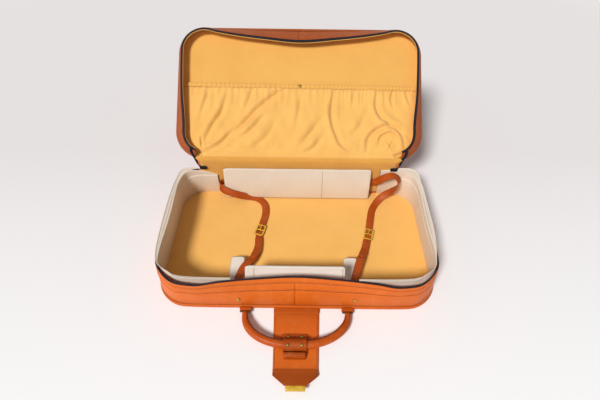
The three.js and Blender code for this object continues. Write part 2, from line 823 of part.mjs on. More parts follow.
// Lid lining: a covered board on the panel and cotton on the walls
const boardBottom = -clearance - lidBoardThickness;
const boardBack = backCorners(lidBackHalf - lidBoardBack, lidBoardBack);
const lidBoard = insetPlate(zippedLid, lidBoardInset, lidBoardThickness, boardBottom, boardBack);
addPiece(lid, "lid_lining_board", lidBoard, yellowCotton);
function wallLiningSection(station) {
  const high = boardBottom - clearance;
  const low = lidWallLow + liningThickness;
  const levels = [high, high + (low - high) / 3, low - (low - high) / 3, low];
  const slack = wallLiningGap + wallLiningSlack * readShares(lidLeanShares, station.share);
  const outer = levels.map((z) => [Math.max(panelInset + clearance, lidInset(station, z) + slack), z]);
  return [...outer, ...outer.toReversed().map(([inset, z]) => [inset + liningThickness, z])];
}
addPiece(lid, "lid_wall_lining", band(zippedLid, wallLiningSection), yellowCotton);

// Pocket of gathered cotton. Creases run from its two lower corners, as shares of its width and depth.
const pocketTop = boardBottom - clearance;
const pocketHalf = halfWidth - pocketInset;
const pocketColumns = 44;
const pocketRows = 18;
const creaseShares = [
  { x: -0.41, y: 0.02, creases: 13, reach: 0.36, strength: 1 },
  { x: 0.385, y: 0.09, creases: 9, reach: 0.26, strength: 0.8 },
];
const gathers = 15;

function pocketHalfAt(depth) {
  const radius = cornerRadius - pocketInset;
  const rise = Math.min(1, Math.max(0, (cornerRadius - depth) / radius));
  return halfWidth - cornerRadius + radius * Math.sqrt(1 - rise * rise);
}

function pocketThickness(x, depth) {
  const toSide = pocketHalfAt(depth) - Math.abs(x);
  const rim = Math.max(0, Math.min(1, toSide / pocketRim, (depth - pocketBack) / pocketRim));
  const along = (depth - pocketBack) / pocketDepth;
  let folds = 0.5 * Math.sin((gathers * Math.PI * x) / pocketHalf) * along * along;
  for (const { x: shareX, y: shareY, creases, reach, strength } of creaseShares) {
    const dx = x - shareX * 2 * pocketHalf;
    const dy = depth - pocketBack - shareY * pocketDepth;
    const away = Math.hypot(dx, dy) / (reach * 2 * pocketHalf);
    folds += strength * Math.sin(creases * Math.atan2(dy, dx)) * Math.min(1, 4 * away) * Math.exp(-away * away);
  }
  const crown = pocketCrown * (0.6 + 0.4 * Math.cos(Math.PI * (along - 0.35)));
  return pocketEdge + rim * Math.max(0, crown + pocketFold * (1 + folds));
}

function pocketGeometry() {
  const points = [];
  const faces = [];
  const columns = pocketColumns + 1;
  const at = (row, column) => row * columns + column;
  for (let row = 0; row <= pocketRows; row++) {
    const depth = pocketBack + (pocketDepth * row) / pocketRows;
    for (let column = 0; column <= pocketColumns; column++) {
      const x = pocketHalfAt(depth) * ((2 * column) / pocketColumns - 1);
      points.push(new THREE.Vector3(x, -depth, pocketTop - pocketThickness(x, depth)));
    }
  }
  for (let row = 0; row < pocketRows; row++) {
    for (let column = 0; column < pocketColumns; column++) {
      const [a, b] = [at(row, column), at(row + 1, column)];
      const [c, d] = [at(row + 1, column + 1), at(row, column + 1)];
      faces.push([a, b, c], [a, c, d]);
    }
  }
  const border = [];
  for (let column = 0; column < pocketColumns; column++) border.push(at(0, column));
  for (let row = 0; row < pocketRows; row++) border.push(at(row, pocketColumns));
  for (let column = pocketColumns; column > 0; column--) border.push(at(pocketRows, column));
  for (let row = pocketRows; row > 0; row--) border.push(at(row, 0));
  const firstFoot = points.length;
  for (const index of border) points.push(points[index].clone().setZ(pocketTop));
  const hub = points.length;
  points.push(new THREE.Vector3(0, -pocketBack - pocketDepth / 2, pocketTop));
  border.forEach((a, i) => {
    const next = (i + 1) % border.length;
    const [b, c, d] = [border[next], firstFoot + i, firstFoot + next];
    faces.push([c, a, b], [c, b, d], [d, hub, c]);
  });
  return closedSurface(points, faces);
}
addPiece(lid, "lid_pocket", pocketGeometry(), yellowCotton);

// Elastic hem along the pocket's mouth, with its snap
const hemY = -pocketBack - pocketDepth - clearance - hemWidth / 2;
const hemBottom = pocketTop - hemLift - hemThickness;
const hem = plate(
  polygon([
    [-pocketHalf, hemWidth / 2],
    [-pocketHalf, -hemWidth / 2],
    [pocketHalf, -hemWidth / 2],
    [pocketHalf, hemWidth / 2],
  ]),
  hemThickness,
);
addPiece(lid, "pocket_hem", hem.translate(0, hemY, hemBottom), yellowCotton);
const snap = studGeometry(snapRadius, snapHeight).rotateX(Math.PI);
addPiece(lid, "pocket_snap", snap.translate(0, hemY, hemBottom - clearance), brass);

// Lock plate on the outside of the lid, with its sliding button
const lockBottom = clearance + lidPanelThickness + clearance;
const lockY = -lidDepth + lockFront + lockLength / 2;
const lockPlate = plate(roundedRectangle(lockWidth, lockLength, smallRadius), lockThickness, lockBottom);
addPiece(lid, "lock_plate", lockPlate.translate(0, lockY, 0), brass);
const slideShape = roundedRectangle(lockSlideWidth, lockSlideLength, smallRadius / 2);
const lockSlide = plate(slideShape, lockSlideHeight, lockBottom + lockThickness + clearance);
const slideY = -lidDepth + lockSlideFront + lockSlideLength / 2;
addPiece(lid, "lock_slide", lockSlide.translate(lockSlideX, slideY, 0), brass);

// Closing flap, from its root under the front edge to the fold
const flap = addGroup(suitcase, 0, hingeY, 0);
const flapShape = polygon([
  [-flapRootWidth / 2, flapRootBack],
  [-flapEndWidth / 2, flapCrease - flapLength],
  [flapEndWidth / 2, flapCrease - flapLength],
  [flapRootWidth / 2, flapRootBack],
]);
addPiece(flap, "flap", plate(flapShape, leather, flapLift), tanLeather);

// The tip past the fold curls up and carries the hasp
const flapTop = flapLift + leather;
const tip = addGroup(flap, 0, -flapLength, flapTop, -tipCurl);
const tipShape = polygon([
  [-flapEndWidth / 2, 0],
  [-flapEndWidth / 2, -tipShoulder],
  [-tipEndWidth / 2, -tipLength],
  [tipEndWidth / 2, -tipLength],
  [flapEndWidth / 2, -tipShoulder],
  [flapEndWidth / 2, 0],
]);
addPiece(tip, "flap_tip", plate(tipShape, leather, -leather), tanLeather);
const hasp = plate(roundedRectangle(haspWidth, haspLength, smallRadius / 2), haspThickness);
hasp.translate(0, -tipLength - clearance - haspLength / 2, -(leather + haspThickness) / 2);
addPiece(tip, "hasp_plate", hasp, brass);

// Handle: a rolled grip that bows forward over the flap, hung on two pins
function gripReachAt(x) {
  return handleReach * (1 - Math.abs((2 * x) / handleSpan) ** handlePower) ** (1 / handlePower);
}

function gripGeometry() {
  const steps = 32;
  const sides = 10;
  const endReach = pinDiameter / 2 + clearance;
  const places = [];
  for (let i = 0; i <= steps; i++) {
    const angle = (Math.PI * i) / steps;
    const turn = Math.cos(angle);
    const x = (handleSpan / 2) * Math.sign(turn) * Math.abs(turn) ** (2 / handlePower);
    const reach = Math.max(handleReach * Math.sin(angle) ** (2 / handlePower), endReach);
    const rise = Math.min(1, reach / (handleReach / 2));
    places.push(new THREE.Vector3(x, -reach, flapHingeZ + (gripLift - flapHingeZ) * rise));
  }
  const rings = places.map((place, i) => {
    const along = new THREE.Vector3().subVectors(places[Math.min(i + 1, steps)], places[Math.max(i - 1, 0)]);
    if (i === 0) along.set(0, -1, 0);
    if (i === steps) along.set(0, 1, 0);
    const outward = new THREE.Vector3(-along.y, along.x, 0).normalize();
    const swell = Math.min(1, -place.y / (handleReach / 2));
    const radius = (gripEndDiameter + (gripDiameter - gripEndDiameter) * swell) / 2;
    return Array.from({ length: sides }, (_, j) => {
      const angle = (2 * Math.PI * j) / sides;
      const point = place.clone().addScaledVector(outward, radius * Math.cos(angle));
      point.z += radius * Math.sin(angle);
      point.y = Math.min(point.y, -endReach);
      return point;
    });
  });
  return sweptSolid(rings);
}
const handle = addGroup(suitcase, 0, hingeY, 0);
addPiece(handle, "handle_grip", gripGeometry(), tanLeather);
for (const [side, sign] of pairSides) {
  const pin = new THREE.CylinderGeometry(pinDiameter / 2, pinDiameter / 2, pinLength, roundSteps);
  pin.rotateZ(Math.PI / 2).translate((sign * handleSpan) / 2, 0, flapHingeZ);
  addPiece(handle, "handle_pin_" + side, pin, brass);
}

// Keeper on the flap: a tab behind the grip, a strap over the grip and a roll in front of it
const keeperBottom = flapTop + clearance;
const keeperInner = gripDiameter / 2 + keeperEase;
const keeperOuter = keeperInner + keeperThickness;
const keeperEdge = Math.abs(keeperX) + keeperWidth / 2;
const keeperY = -(handleReach + gripReachAt(keeperEdge)) / 2;
const keeperTabY = keeperY + keeperOuter + clearance + keeperTabLength / 2;
const keeperTabShape = roundedRectangle(keeperTabWidth, keeperTabLength, smallRadius);
const keeperTab = plate(keeperTabShape, keeperThickness, keeperBottom);
addPiece(flap, "keeper_tab", keeperTab.translate(keeperX, keeperTabY, 0), strapLeather);

// Turns a profile in Y and Z into a solid of the given width about the middle of the keeper.
function keeperSolid(profile, width, y, z) {
  const solid = plate(polygon(profile), width).rotateX(Math.PI / 2).rotateZ(Math.PI / 2);
  return solid.translate(keeperX - width / 2, y, z);
}

function halfRound(across, rise) {
  return Array.from({ length: roundSteps + 1 }, (_, i) => {
    const angle = (Math.PI * i) / roundSteps;
    return [across * Math.cos(angle), rise * Math.sin(angle)];
  });
}
const legFoot = keeperBottom - gripLift;
const archProfile = [
  [keeperOuter, legFoot],
  ...halfRound(keeperOuter, keeperOuter),
  [-keeperOuter, legFoot],
  [-keeperInner, legFoot],
  ...halfRound(keeperInner, keeperInner).toReversed(),
  [keeperInner, legFoot],
];
addPiece(flap, "keeper_strap", keeperSolid(archProfile, keeperWidth, keeperY, gripLift), strapLeather);
const rollY = keeperY - keeperOuter - clearance - rollDepth / 2;
const roll = keeperSolid(halfRound(rollDepth / 2, rollHeight), rollWidth, rollY, keeperBottom);
addPiece(flap, "keeper_roll", roll, strapLeather);

// Two studs on the keeper's tab, and two where its strap comes down over the grip
for (const [side, sign] of pairSides) {
  const x = keeperX + (sign * keeperStudSpacing) / 2;
  const stud = studGeometry(keeperStudRadius, studHeight);
  const tabStud = stud.clone().translate(x, keeperTabY, keeperBottom + keeperThickness + clearance);
  addPiece(flap, "keeper_tab_stud_" + side, tabStud, brass);
  const place = addGroup(flap, x, keeperY, gripLift, keeperStudPitch);
  addPiece(place, "keeper_strap_stud_" + side, stud.translate(0, 0, keeperOuter + clearance), brass);
}

export default suitcase;
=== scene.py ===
# A soft leather suitcase that lies open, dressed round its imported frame. Lengths are in millimetres.
import json
import math
import random

import bmesh
import bpy
import numpy as np
from mathutils import Matrix, Vector


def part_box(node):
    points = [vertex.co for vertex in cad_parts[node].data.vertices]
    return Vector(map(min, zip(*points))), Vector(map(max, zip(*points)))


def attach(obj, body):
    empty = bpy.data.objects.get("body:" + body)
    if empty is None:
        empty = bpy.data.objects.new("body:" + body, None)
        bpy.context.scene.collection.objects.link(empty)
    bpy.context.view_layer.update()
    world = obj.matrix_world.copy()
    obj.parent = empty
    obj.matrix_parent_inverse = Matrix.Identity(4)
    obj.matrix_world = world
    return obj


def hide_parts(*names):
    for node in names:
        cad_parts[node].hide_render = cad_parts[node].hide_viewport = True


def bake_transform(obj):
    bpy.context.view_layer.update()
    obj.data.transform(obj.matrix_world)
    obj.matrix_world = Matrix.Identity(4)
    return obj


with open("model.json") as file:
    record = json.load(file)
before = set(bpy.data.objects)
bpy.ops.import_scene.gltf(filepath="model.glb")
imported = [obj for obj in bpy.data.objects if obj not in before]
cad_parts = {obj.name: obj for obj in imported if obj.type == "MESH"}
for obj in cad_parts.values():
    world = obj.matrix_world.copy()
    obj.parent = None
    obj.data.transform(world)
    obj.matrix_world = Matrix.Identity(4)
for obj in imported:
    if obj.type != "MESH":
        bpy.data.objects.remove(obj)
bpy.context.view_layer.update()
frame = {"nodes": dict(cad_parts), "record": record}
HOME = {node: body for body, nodes in frame["record"]["behaviour"]["bodies"].items() for node in nodes}
SLOT = {part["node"]: part["material_slot"] for part in frame["record"]["subparts"]}

METRE = 0.001
SIDES = (("left", -1), ("right", 1))
PI = math.pi

# Sizes of the frame
CASE_WIDTH, CASE_DEPTH, LID_DEPTH, CORNER = 540, 300, 296, 60
BASE_HEIGHT, LID_WALL, OPEN_ANGLE = 80, 25, 143
HINGE_Y, HINGE_Z = 150, 105
FLAP_HINGE_Y = -160
GAP = 0.3
ON_FLOOR = 7.6
ZIP_START = 224.0
SEAM_X, SEAM_GAP = -3, 0.15
WALL_FOOT, WALL_TOP = 9.3, 66.0
BAND_LOW, BAND_HIGH = 66.3, 75.3
TAPE_LOW, TAPE_HIGH = 75.6, 77.6
LID_TAPE_LOW, LID_TAPE_HIGH = -24.8, -22.8
LID_WALL_HIGH, LID_WALL_LOW = -6.5, -22.5


def stood(name, data):
    """A new object of this data, in the scene."""
    made = bpy.data.objects.new(name, data)
    bpy.context.scene.collection.objects.link(made)
    return made


# Camera at the photograph's angle
camera = stood("camera", bpy.data.cameras.new("camera"))
camera.location = (0.004, -0.4939, 0.7017)
tilt, roll = Matrix.Rotation(math.radians(41.42), 3, "X"), Matrix.Rotation(math.radians(0.73), 3, "Z")
camera.rotation_euler = (tilt @ roll).to_euler()
camera.data.lens = 23.93
camera.data.sensor_width = 36
bpy.context.scene.camera = camera
bpy.context.scene.view_settings.view_transform = "Standard"


# Shader maths

class Wire:
    """A shader socket that adds Math nodes when it is used in an expression."""

    def __init__(self, tree, socket):
        self.tree, self.socket = tree, socket

    def math(self, operation, *values):
        """The output of a new Math node."""
        node = self.tree.nodes.new("ShaderNodeMath")
        node.operation = operation
        for slot, value in zip(node.inputs, values):
            if isinstance(value, Wire):
                self.tree.links.new(value.socket, slot)
            else:
                slot.default_value = value
        return Wire(self.tree, node.outputs[0])

    def __add__(self, other):
        return self.math("ADD", self, other)

    def __sub__(self, other):
        return self.math("SUBTRACT", self, other)

    def __rsub__(self, other):
        return self.math("SUBTRACT", other, self)

    def __mul__(self, other):
        return self.math("MULTIPLY", self, other)

    def __truediv__(self, other):
        return self.math("DIVIDE", self, other)

    def __pow__(self, other):
        return self.math("POWER", self, other)

    __radd__ = __add__
    __rmul__ = __mul__

    def sine(self):
        return self.math("SINE", self)

    def clamp(self):
        return self.math("MINIMUM", self.math("MAXIMUM", self, 0), 1)


def linear(colour):
    """A hex colour as linear light."""
    parts = [int(colour[i:i + 2], 16) / 255 for i in (1, 3, 5)]
    return [p / 12.92 if p <= 0.04045 else ((p + 0.055) / 1.055) ** 2.4 for p in parts] + [1]


class Finish:
    """One material, or the world, node by node."""

    def __init__(self, name, kind=bpy.data.materials):
        self.data = kind.new(name)
        self.data.use_nodes = True
        self.tree = self.data.node_tree
        self.tree.nodes.clear()

    def add(self, kind, settings=(), output=0, **values):
        """A node with its settings and sockets set; _0 names a socket by its number."""
        node = self.tree.nodes.new("ShaderNode" + kind)
        for key, value in dict(settings).items():
            if key == "stops":
                ramp = node.color_ramp.elements
                while len(ramp) < len(value):
                    ramp.new(0.5)
                for element, (place, shade) in zip(ramp, value):
                    element.position = place
                    element.color = (shade, shade, shade, 1)
            else:
                setattr(node, key, value)
        for key, value in values.items():
            slot = node.inputs[int(key[1:])] if key[0] == "_" else node.inputs[key.replace("_", " ")]
            if isinstance(value, Wire):
                self.tree.links.new(value.socket, slot)
            else:
                slot.default_value = value
        return Wire(self.tree, node.outputs[output]) if node.outputs else None

    def coordinates(self):
        return self.add("TexCoord", output=3)

    def axes(self):
        place = self.coordinates()
        return [self.add("SeparateXYZ", output=i, Vector=place) for i in range(3)]

    def noise(self, scale, detail=3, roughness=0.55):
        place = self.coordinates()
        return self.add("TexNoise", Vector=place, Scale=scale, Detail=detail, Roughness=roughness)

    def cells(self, scale):
        return self.add("TexVoronoi", Vector=self.coordinates(), Scale=scale)

    def blend(self, share, first, second):
        """A colour between two colours."""
        return self.add("Mix", {"data_type": "RGBA"}, output=2, _0=share, _6=first, _7=second)

    def ramp(self, value, *stops):
        return self.add("ValToRGB", {"stops": stops}, Fac=value)

    def bump(self, height, distance, strength):
        return self.add("Bump", Height=height, Distance=distance, Strength=strength)

    def surface(self, **values):
        """The finished material, with these values in its shader."""
        shader = self.add("BsdfPrincipled", **values)
        self.add("OutputMaterial", Surface=shader)
        return self.data


def leather(name, light, dark, grain=900, gloss=0.46, painted_shades=(), axis=1):
    """Smooth leather with fine grain, clouds of colour, scuffs and painted shade at places along an axis.
    """
    finish = Finish(name)
    clouds = finish.noise(14, 4)
    grain_cells = finish.cells(grain)
    pores = finish.noise(grain * 1.7, 2)
    scuffs = finish.ramp(finish.noise(60, 5, 0.7), (0.52, 0), (0.72, 1))
    shade = (clouds * 0.9 + pores * 0.25 - 0.12).clamp()
    colour = finish.blend(shade, linear(light), linear(dark))
    colour = finish.blend(scuffs * 0.16, colour, linear("#F0A060"))
    # Painted shade: a ramp along one axis darkens the colour where shade falls.
    if painted_shades:
        low, high = painted_shades[0][0], painted_shades[-1][0]
        along = finish.add("MapRange", Value=finish.axes()[axis], From_Min=low, From_Max=high)
        tone = finish.ramp(along, *[((place - low) / (high - low), shade) for place, shade in painted_shades])
        colour = finish.blend(tone, colour, linear("#6E2600"))
    height = grain_cells * 0.6 + pores * 0.3 + finish.noise(90, 3) * 1.5
    roughness = clouds * 0.1 + scuffs * 0.12 + (gloss - 0.06)
    return finish.surface(Base_Color=colour, Roughness=roughness, Normal=finish.bump(height, 0.0003, 0.5),
                          Specular_IOR_Level=0.2)


def woven(name, light, dark, thread, creases=0.0006, sheen=0.25, bounce_light_below=0):
    """Plain weave with slubs, soft creases and thin places. Near the floor it may carry painted warm light,
    as if bounced up from the yellow cotton.
    """
    finish = Finish(name)
    x, y, z = finish.axes()
    turn = 2 * PI / thread
    waves = [(axis * turn).sine() for axis in (x, y, z)]
    weave = waves[0] * waves[1] + waves[1] * waves[2] + waves[2] * waves[0]
    clouds = finish.noise(18, 4, 0.6)
    slubs = finish.noise(420, 2)
    shade = (clouds * 0.8 + slubs * 0.3 + weave * 0.06 - 0.15).clamp()
    colour = finish.blend(shade, linear(light), linear(dark))
    # Painted bounce light: a warm tint that grows towards the floor.
    if bounce_light_below:
        foot = ((bounce_light_below - z) / bounce_light_below).clamp()
        colour = finish.blend(foot * foot * 0.8, colour, linear("#CDAC82"))
    height = weave * 0.1 + slubs * 0.12 + finish.noise(55, 4, 0.6)
    rough = clouds * 0.1 + 0.82
    return finish.surface(Base_Color=colour, Roughness=rough, Sheen_Weight=sheen, Sheen_Roughness=0.5,
                          Specular_IOR_Level=0.2, Normal=finish.bump(height, creases, 0.7))


def metal(name, light, dark, gloss=0.24):
    """Polished brass with faint tarnish."""
    finish = Finish(name)
    tarnish = finish.ramp(finish.noise(120, 4, 0.6), (0.42, 0), (0.7, 1))
    colour = finish.blend(tarnish * 0.6, linear(light), linear(dark))
    return finish.surface(Base_Color=colour, Metallic=1.0, Roughness=tarnish * 0.16 + gloss,
                          Normal=finish.bump(finish.noise(700, 2), 0.0001, 0.3))


def plain_thread(name, light, dark):
    """Twisted thread."""
    finish = Finish(name)
    colour = finish.blend(finish.noise(260, 2), linear(light), linear(dark))
    relief = finish.bump(finish.noise(2600, 2), 0.0001, 0.5)
    return finish.surface(Base_Color=colour, Roughness=0.7, Normal=relief)


TAN_TONES = "#DF6F22", "#C45710"
TAN = leather("tan_leather", *TAN_TONES)
# Tan leather for the base's walls and zip band, with painted shade: dark lines in the grooves at the foot,
# at the middle seam and under the zip band; the foot's shade fades out up the lower wall.
GROOVE_SHADED_WALL_TAN = leather("wall_leather", *TAN_TONES, axis=2, painted_shades=(
    (0.0085, 0.85), (0.0108, 0.85), (0.0125, 0.2), (0.03, 0), (0.0485, 0), (0.0493, 0.7), (0.0508, 0.7),
    (0.0516, 0), (0.0645, 0), (0.0654, 0.6), (0.0666, 0.6), (0.0674, 0)))
# Painted shade: a darker copy of the tan leather, for the lid's walls and piping.
SHADED_TAN = leather("lid_leather", "#A9521F", "#843A0E")
PIPING = leather("piping_leather", "#D5651A", "#AE4A0C", grain=1200, gloss=0.4)
STRAP = leather("strap_leather", "#B44E12", "#8D3804", grain=1100, gloss=0.42)
# Tan leather for the closing flap, with painted shade: darker over the curled tip and towards the root
# under the case's front.
SHADE_PAINTED_FLAP_TAN = leather("flap_leather", *TAN_TONES, painted_shades=(
    (-0.29, 0.5), (-0.262, 0.55), (-0.258, 0.1), (-0.24, 0), (-0.2, 0.05), (-0.17, 0.25), (-0.155, 0.45)))
GRIP = leather("grip_leather", "#C2540F", "#9C4006", grain=1100, gloss=0.4)
# Very dark leather for the seam along the grip's inner side: a real seam edge, darkened further as painted
# shade where the grip meets its shadow.
SEAM_AND_SHADE_EDGE = leather("cut_edge_and_painted_shade", "#5A2B10", "#3A1806", grain=1500, gloss=0.55)
COTTON = woven("yellow_cotton", "#F9C068", "#EBAC54", 0.0009)
POCKET_COTTON = woven("gathered_cotton", "#F1BB69", "#E3A853", 0.0009, creases=0.0009)
# Painted shade: a darker copy of the yellow cotton, for the lid's lining board, wall lining and hem.
SHADED_LID_COTTON = woven("lid_cotton", "#E6B05C", "#D79C4A", 0.0009)
# Painted shade: a still darker copy of the yellow cotton, for the fold over the hinge.
SHADED_FOLD_COTTON = woven("fold_cotton", "#DFA44E", "#C78D36", 0.0009)
CANVAS = woven("pale_canvas", "#E6DBCF", "#D4C8BA", 0.0013, creases=0.0004, sheen=0.1)
# Canvas for the collar and back flap, with painted warm bounce light towards the floor.
BOUNCE_LIT_CANVAS = woven("lining_canvas", "#E3D5C5", "#D0C0AE", 0.0013, creases=0.0004, sheen=0.1,
                    bounce_light_below=0.078)
ZIP_TAPE = woven("zip_tape", "#1B1822", "#100E16", 0.0008, sheen=0.02)
TEETH = metal("zip_teeth", "#35323C", "#1A181F", gloss=0.42)
BRASS = metal("brass", "#E2BA4A", "#A9812E")
STUD_BRASS = metal("stud_brass", "#C9B052", "#7C7232", gloss=0.3)
AGED_BRASS = metal("aged_brass", "#8C7038", "#4E3C1E", gloss=0.36)
# Painted shade: dark metal for the handle's pins where they sit in shade under the chapes.
PIN_IN_PAINTED_SHADE = metal("pin_in_painted_shade", "#5A4326", "#33240F", gloss=0.4)
THREAD = plain_thread("tan_thread", "#A5571F", "#7A3A12")
DARK_THREAD = plain_thread("dark_thread", "#5E3418", "#3A1D0C")
CREASE_SHADE_THREAD = plain_thread("crease_shade_thread", "#A5917C", "#877460")
PALE_THREAD = plain_thread("pale_thread", "#E8DCCB", "#CBBBA6")
YELLOW_THREAD = plain_thread("yellow_thread", "#E3A548", "#C98C34")


# Mesh tools

def lid_place(points):
    """Points of the closed lid, drawn about its hinge line, as they lie with the lid open."""
    turned = Matrix.Rotation(math.radians(-OPEN_ANGLE), 3, "X")
    return np.asarray(points, float).reshape(-1, 3) @ np.array(turned).T + (0, HINGE_Y, HINGE_Z)


def flap_place(points):
    """Points drawn from the closing flap's hinge line."""
    return np.asarray(points, float).reshape(-1, 3) + (0, FLAP_HINGE_Y, 0)


def tilted(points, x, y, z, pitch):
    """Points pitched up about the X axis, then moved."""
    rotation = Matrix.Rotation(math.radians(pitch), 3, "X")
    return np.asarray(points, float).reshape(-1, 3) @ np.array(rotation).T + (x, y, z)


def piece(name, shape, finish, slot, body=None, replaced=(), smooth=True):
    """A mesh of the suitcase, from points in millimetres and faces, that rides on a body."""
    points, faces = shape
    mesh = bpy.data.meshes.new(name)
    mesh.from_pydata((np.asarray(points, float).reshape(-1, 3) * METRE).tolist(), [], faces)
    mesh.update()
    work = bmesh.new()
    work.from_mesh(mesh)
    bmesh.ops.recalc_face_normals(work, faces=work.faces)
    work.to_mesh(mesh)
    work.free()
    if smooth:
        mesh.shade_smooth()
    mesh.materials.append(finish)
    made = stood(name, mesh)
    if replaced:
        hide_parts(*replaced)
    if body:
        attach(made, body)
    return made


def dress(name, node, shape, finish):
    """A piece that stands for one node of the frame and rides on its body."""
    return piece(name, shape, finish, SLOT[node], HOME[node], [node])


def moved(shape, place):
    """A shape with its points put through a function."""
    return place(shape[0]), shape[1]


def joined(shapes):
    """Several shapes as one."""
    points, faces = [], []
    for some, sides in shapes:
        faces += [tuple(index + len(points) for index in side) for side in sides]
        points += list(some)
    return points, faces


def loft(rings, closed=False):
    """Points and faces through rings that all have the same count."""
    count, spans = len(rings[0]), len(rings) if closed else len(rings) - 1
    faces = []
    for i in range(spans):
        here, there = i * count, (i + 1) % len(rings) * count
        for j in range(count):
            after = (j + 1) % count
            faces.append((here + j, there + j, there + after, here + after))
    if not closed:
        last = (len(rings) - 1) * count
        faces += [tuple(range(count)), tuple(last + j for j in range(count))]
    return np.array(rings, float).reshape(-1, 3), faces


def rounded(corners, radius, steps=3):
    """A closed section with its corners cut to curves."""
    corners = [np.array(c, float) for c in corners]
    section = []
    for i, corner in enumerate(corners):
        ends = []
        for other in (corners[i - 1], corners[(i + 1) % len(corners)]):
            away = other - corner
            size = np.linalg.norm(away)
            ends.append(corner + away / size * min(radius, 0.45 * size))
        for k in range(steps + 1):
            t = k / steps
            section.append((1 - t) ** 2 * ends[0] + 2 * t * (1 - t) * corner + t * t * ends[1])
    return section


def ripple(a, b, seed, size):
    """Soft uneven waves, from about -1 to 1, over two lengths."""
    draw = random.Random(seed)
    total = 0
    for k in range(5):
        turn, phase = draw.uniform(0, PI), draw.uniform(0, 2 * PI)
        rate = 2 * PI / (size * draw.uniform(0.6, 1.7))
        total = total + np.sin(rate * (a * math.cos(turn) + b * math.sin(turn)) + phase)
    return total / 2.5


def hump(gap, width):
    """A smooth rise that is 1 where the gap is nothing and dies away over a width."""
    return np.exp(-(gap / width) ** 2)


def read_shares(table, share):
    """Reads a table of share and value along a smooth curve that keeps between its rows."""
    if share <= table[0][0]:
        return table[0][1]
    if share >= table[-1][0]:
        return table[-1][1]
    i = next(k for k in range(len(table) - 1) if share < table[k + 1][0])
    rise = [(b[1] - a[1]) / (b[0] - a[0]) for a, b in zip(table, table[1:])]
    slope = []
    for k in (i, i + 1):
        if k in (0, len(table) - 1) or rise[k - 1] * rise[k] <= 0:
            slope.append(0)
        else:
            slope.append(2 * rise[k - 1] * rise[k] / (rise[k - 1] + rise[k]))
    (start, low), (end, high) = table[i], table[i + 1]
    span = end - start
    t = (share - start) / span
    return (low * (1 + 2 * t) * (1 - t) ** 2 + high * t * t * (3 - 2 * t)
            + span * t * (1 - t) * (slope[0] * (1 - t) - slope[1] * t))


RUN_SHARES = [0, 0.2663, 0.3859, 0.6141, 0.7337, 1]


class Outline:
    """The edge of the case, from the middle of the back to the left and round the front."""

    def __init__(self, depth, centre_y):
        arc, across, along = PI / 2 * CORNER, CASE_WIDTH - 2 * CORNER, depth - 2 * CORNER
        self.runs = [across / 2, arc, along, arc, across, arc, along, arc, across / 2]
        self.starts = [sum(self.runs[:i]) for i in range(9)]
        self.length = sum(self.runs)
        self.half_y, self.centre_y = depth / 2, centre_y

    def share(self, distance):
        """The share of the way from the back's middle to the front's middle, fixed at the corners."""
        travelled = min(distance, self.length - distance)
        index = max(i for i in range(5) if self.starts[i] <= travelled + 1e-9)
        span = self.runs[index] / (2 if index == 4 else 1)
        low, high = RUN_SHARES[index], RUN_SHARES[index + 1]
        return low + (high - low) * (travelled - self.starts[index]) / span

    def at(self, distance):
        """One stop of the edge: X, Y, the way out in X and Y, its share and its distance."""
        index = max(i for i, start in enumerate(self.starts) if start <= distance + 1e-9)
        along = distance - self.starts[index]
        inner_x, inner_y = CASE_WIDTH / 2 - CORNER, self.half_y - CORNER
        share = self.share(distance)
        if index % 2:
            turn = (index - 1) // 2
            angle = PI / 2 * (turn + 1) + along / CORNER
            nx, ny = math.cos(angle), math.sin(angle)
            x = (-inner_x if turn < 2 else inner_x) + CORNER * nx
            y = (inner_y if turn in (0, 3) else -inner_y) + CORNER * ny
        else:
            x, y, nx, ny = (
                (-along, self.half_y, 0, 1),
                (-CASE_WIDTH / 2, inner_y - along, -1, 0),
                (along - inner_x, -self.half_y, 0, -1),
                (CASE_WIDTH / 2, along - inner_y, 1, 0),
                (inner_x - along, self.half_y, 0, 1),
            )[index // 2]
        return x, y + self.centre_y, nx, ny, share, distance

    def places(self, start, end, step=4.0):
        """Stops along the edge, closer together at the two ends."""
        ends = [0, 0.5, 1, 1.6, 2.4, 3.4]
        middle = np.linspace(start + 5, end - 5, max(2, round((end - start - 10) / step)))
        stops = [start + e for e in ends] + list(middle) + [end - e for e in reversed(ends)]
        return [self.at(stop) for stop in stops]

    def whole(self, step=4.0):
        """Even stops all the way round."""
        return [self.at(stop) for stop in np.arange(0, self.length - step / 2, step)]


def inset(place, depth, z):
    """The point at a depth inside a stop of the edge."""
    return place[0] - place[2] * depth, place[1] - place[3] * depth, z


def band(places, section, closed=False):
    """A strip along the edge; section gives its depths and heights at each stop."""
    return loft([[inset(place, depth, z) for depth, z in section(place)] for place in places], closed)


def wall_halves(outline, seam):
    """The stops of a wall's two halves, either side of the seam in its front."""
    return (("left", outline.places(ZIP_START, seam - SEAM_GAP)),
            ("right", outline.places(seam + SEAM_GAP, outline.length - ZIP_START)))


BASE = Outline(CASE_DEPTH, 0)
LID = Outline(LID_DEPTH, -LID_DEPTH / 2)
SEAM = BASE.length / 2 + SEAM_X
LID_SEAM = LID.length / 2 + SEAM_X
BASE_START, BASE_DROOP, LID_DROOP = 1.6, 22, 38
BASE_LEAN = [(0.26, 0), (0.386, 0.1), (0.5, 0.22), (0.614, 0.1), (0.765, 0), (0.822, 0.38),
             (0.899, 0.74), (1, 1)]
LID_LEAN = [(0.26, 0.3), (0.386, 0.58), (0.5, 0.37), (0.614, 0.3), (0.734, 0.3), (0.77, 0.47), (0.83, 0.69),
            (0.9, 0.87), (1, 1.06)]


def corner_pull(place):
    """How far the soft wall gives way at the two front corners, from 0 to 1."""
    return hump(place[4] - 0.674, 0.062)


def back_swell(place):
    """How far the canvas pushes the wall out at the two back corners, from 0 to 1."""
    return hump(place[4] - 0.322, 0.026)


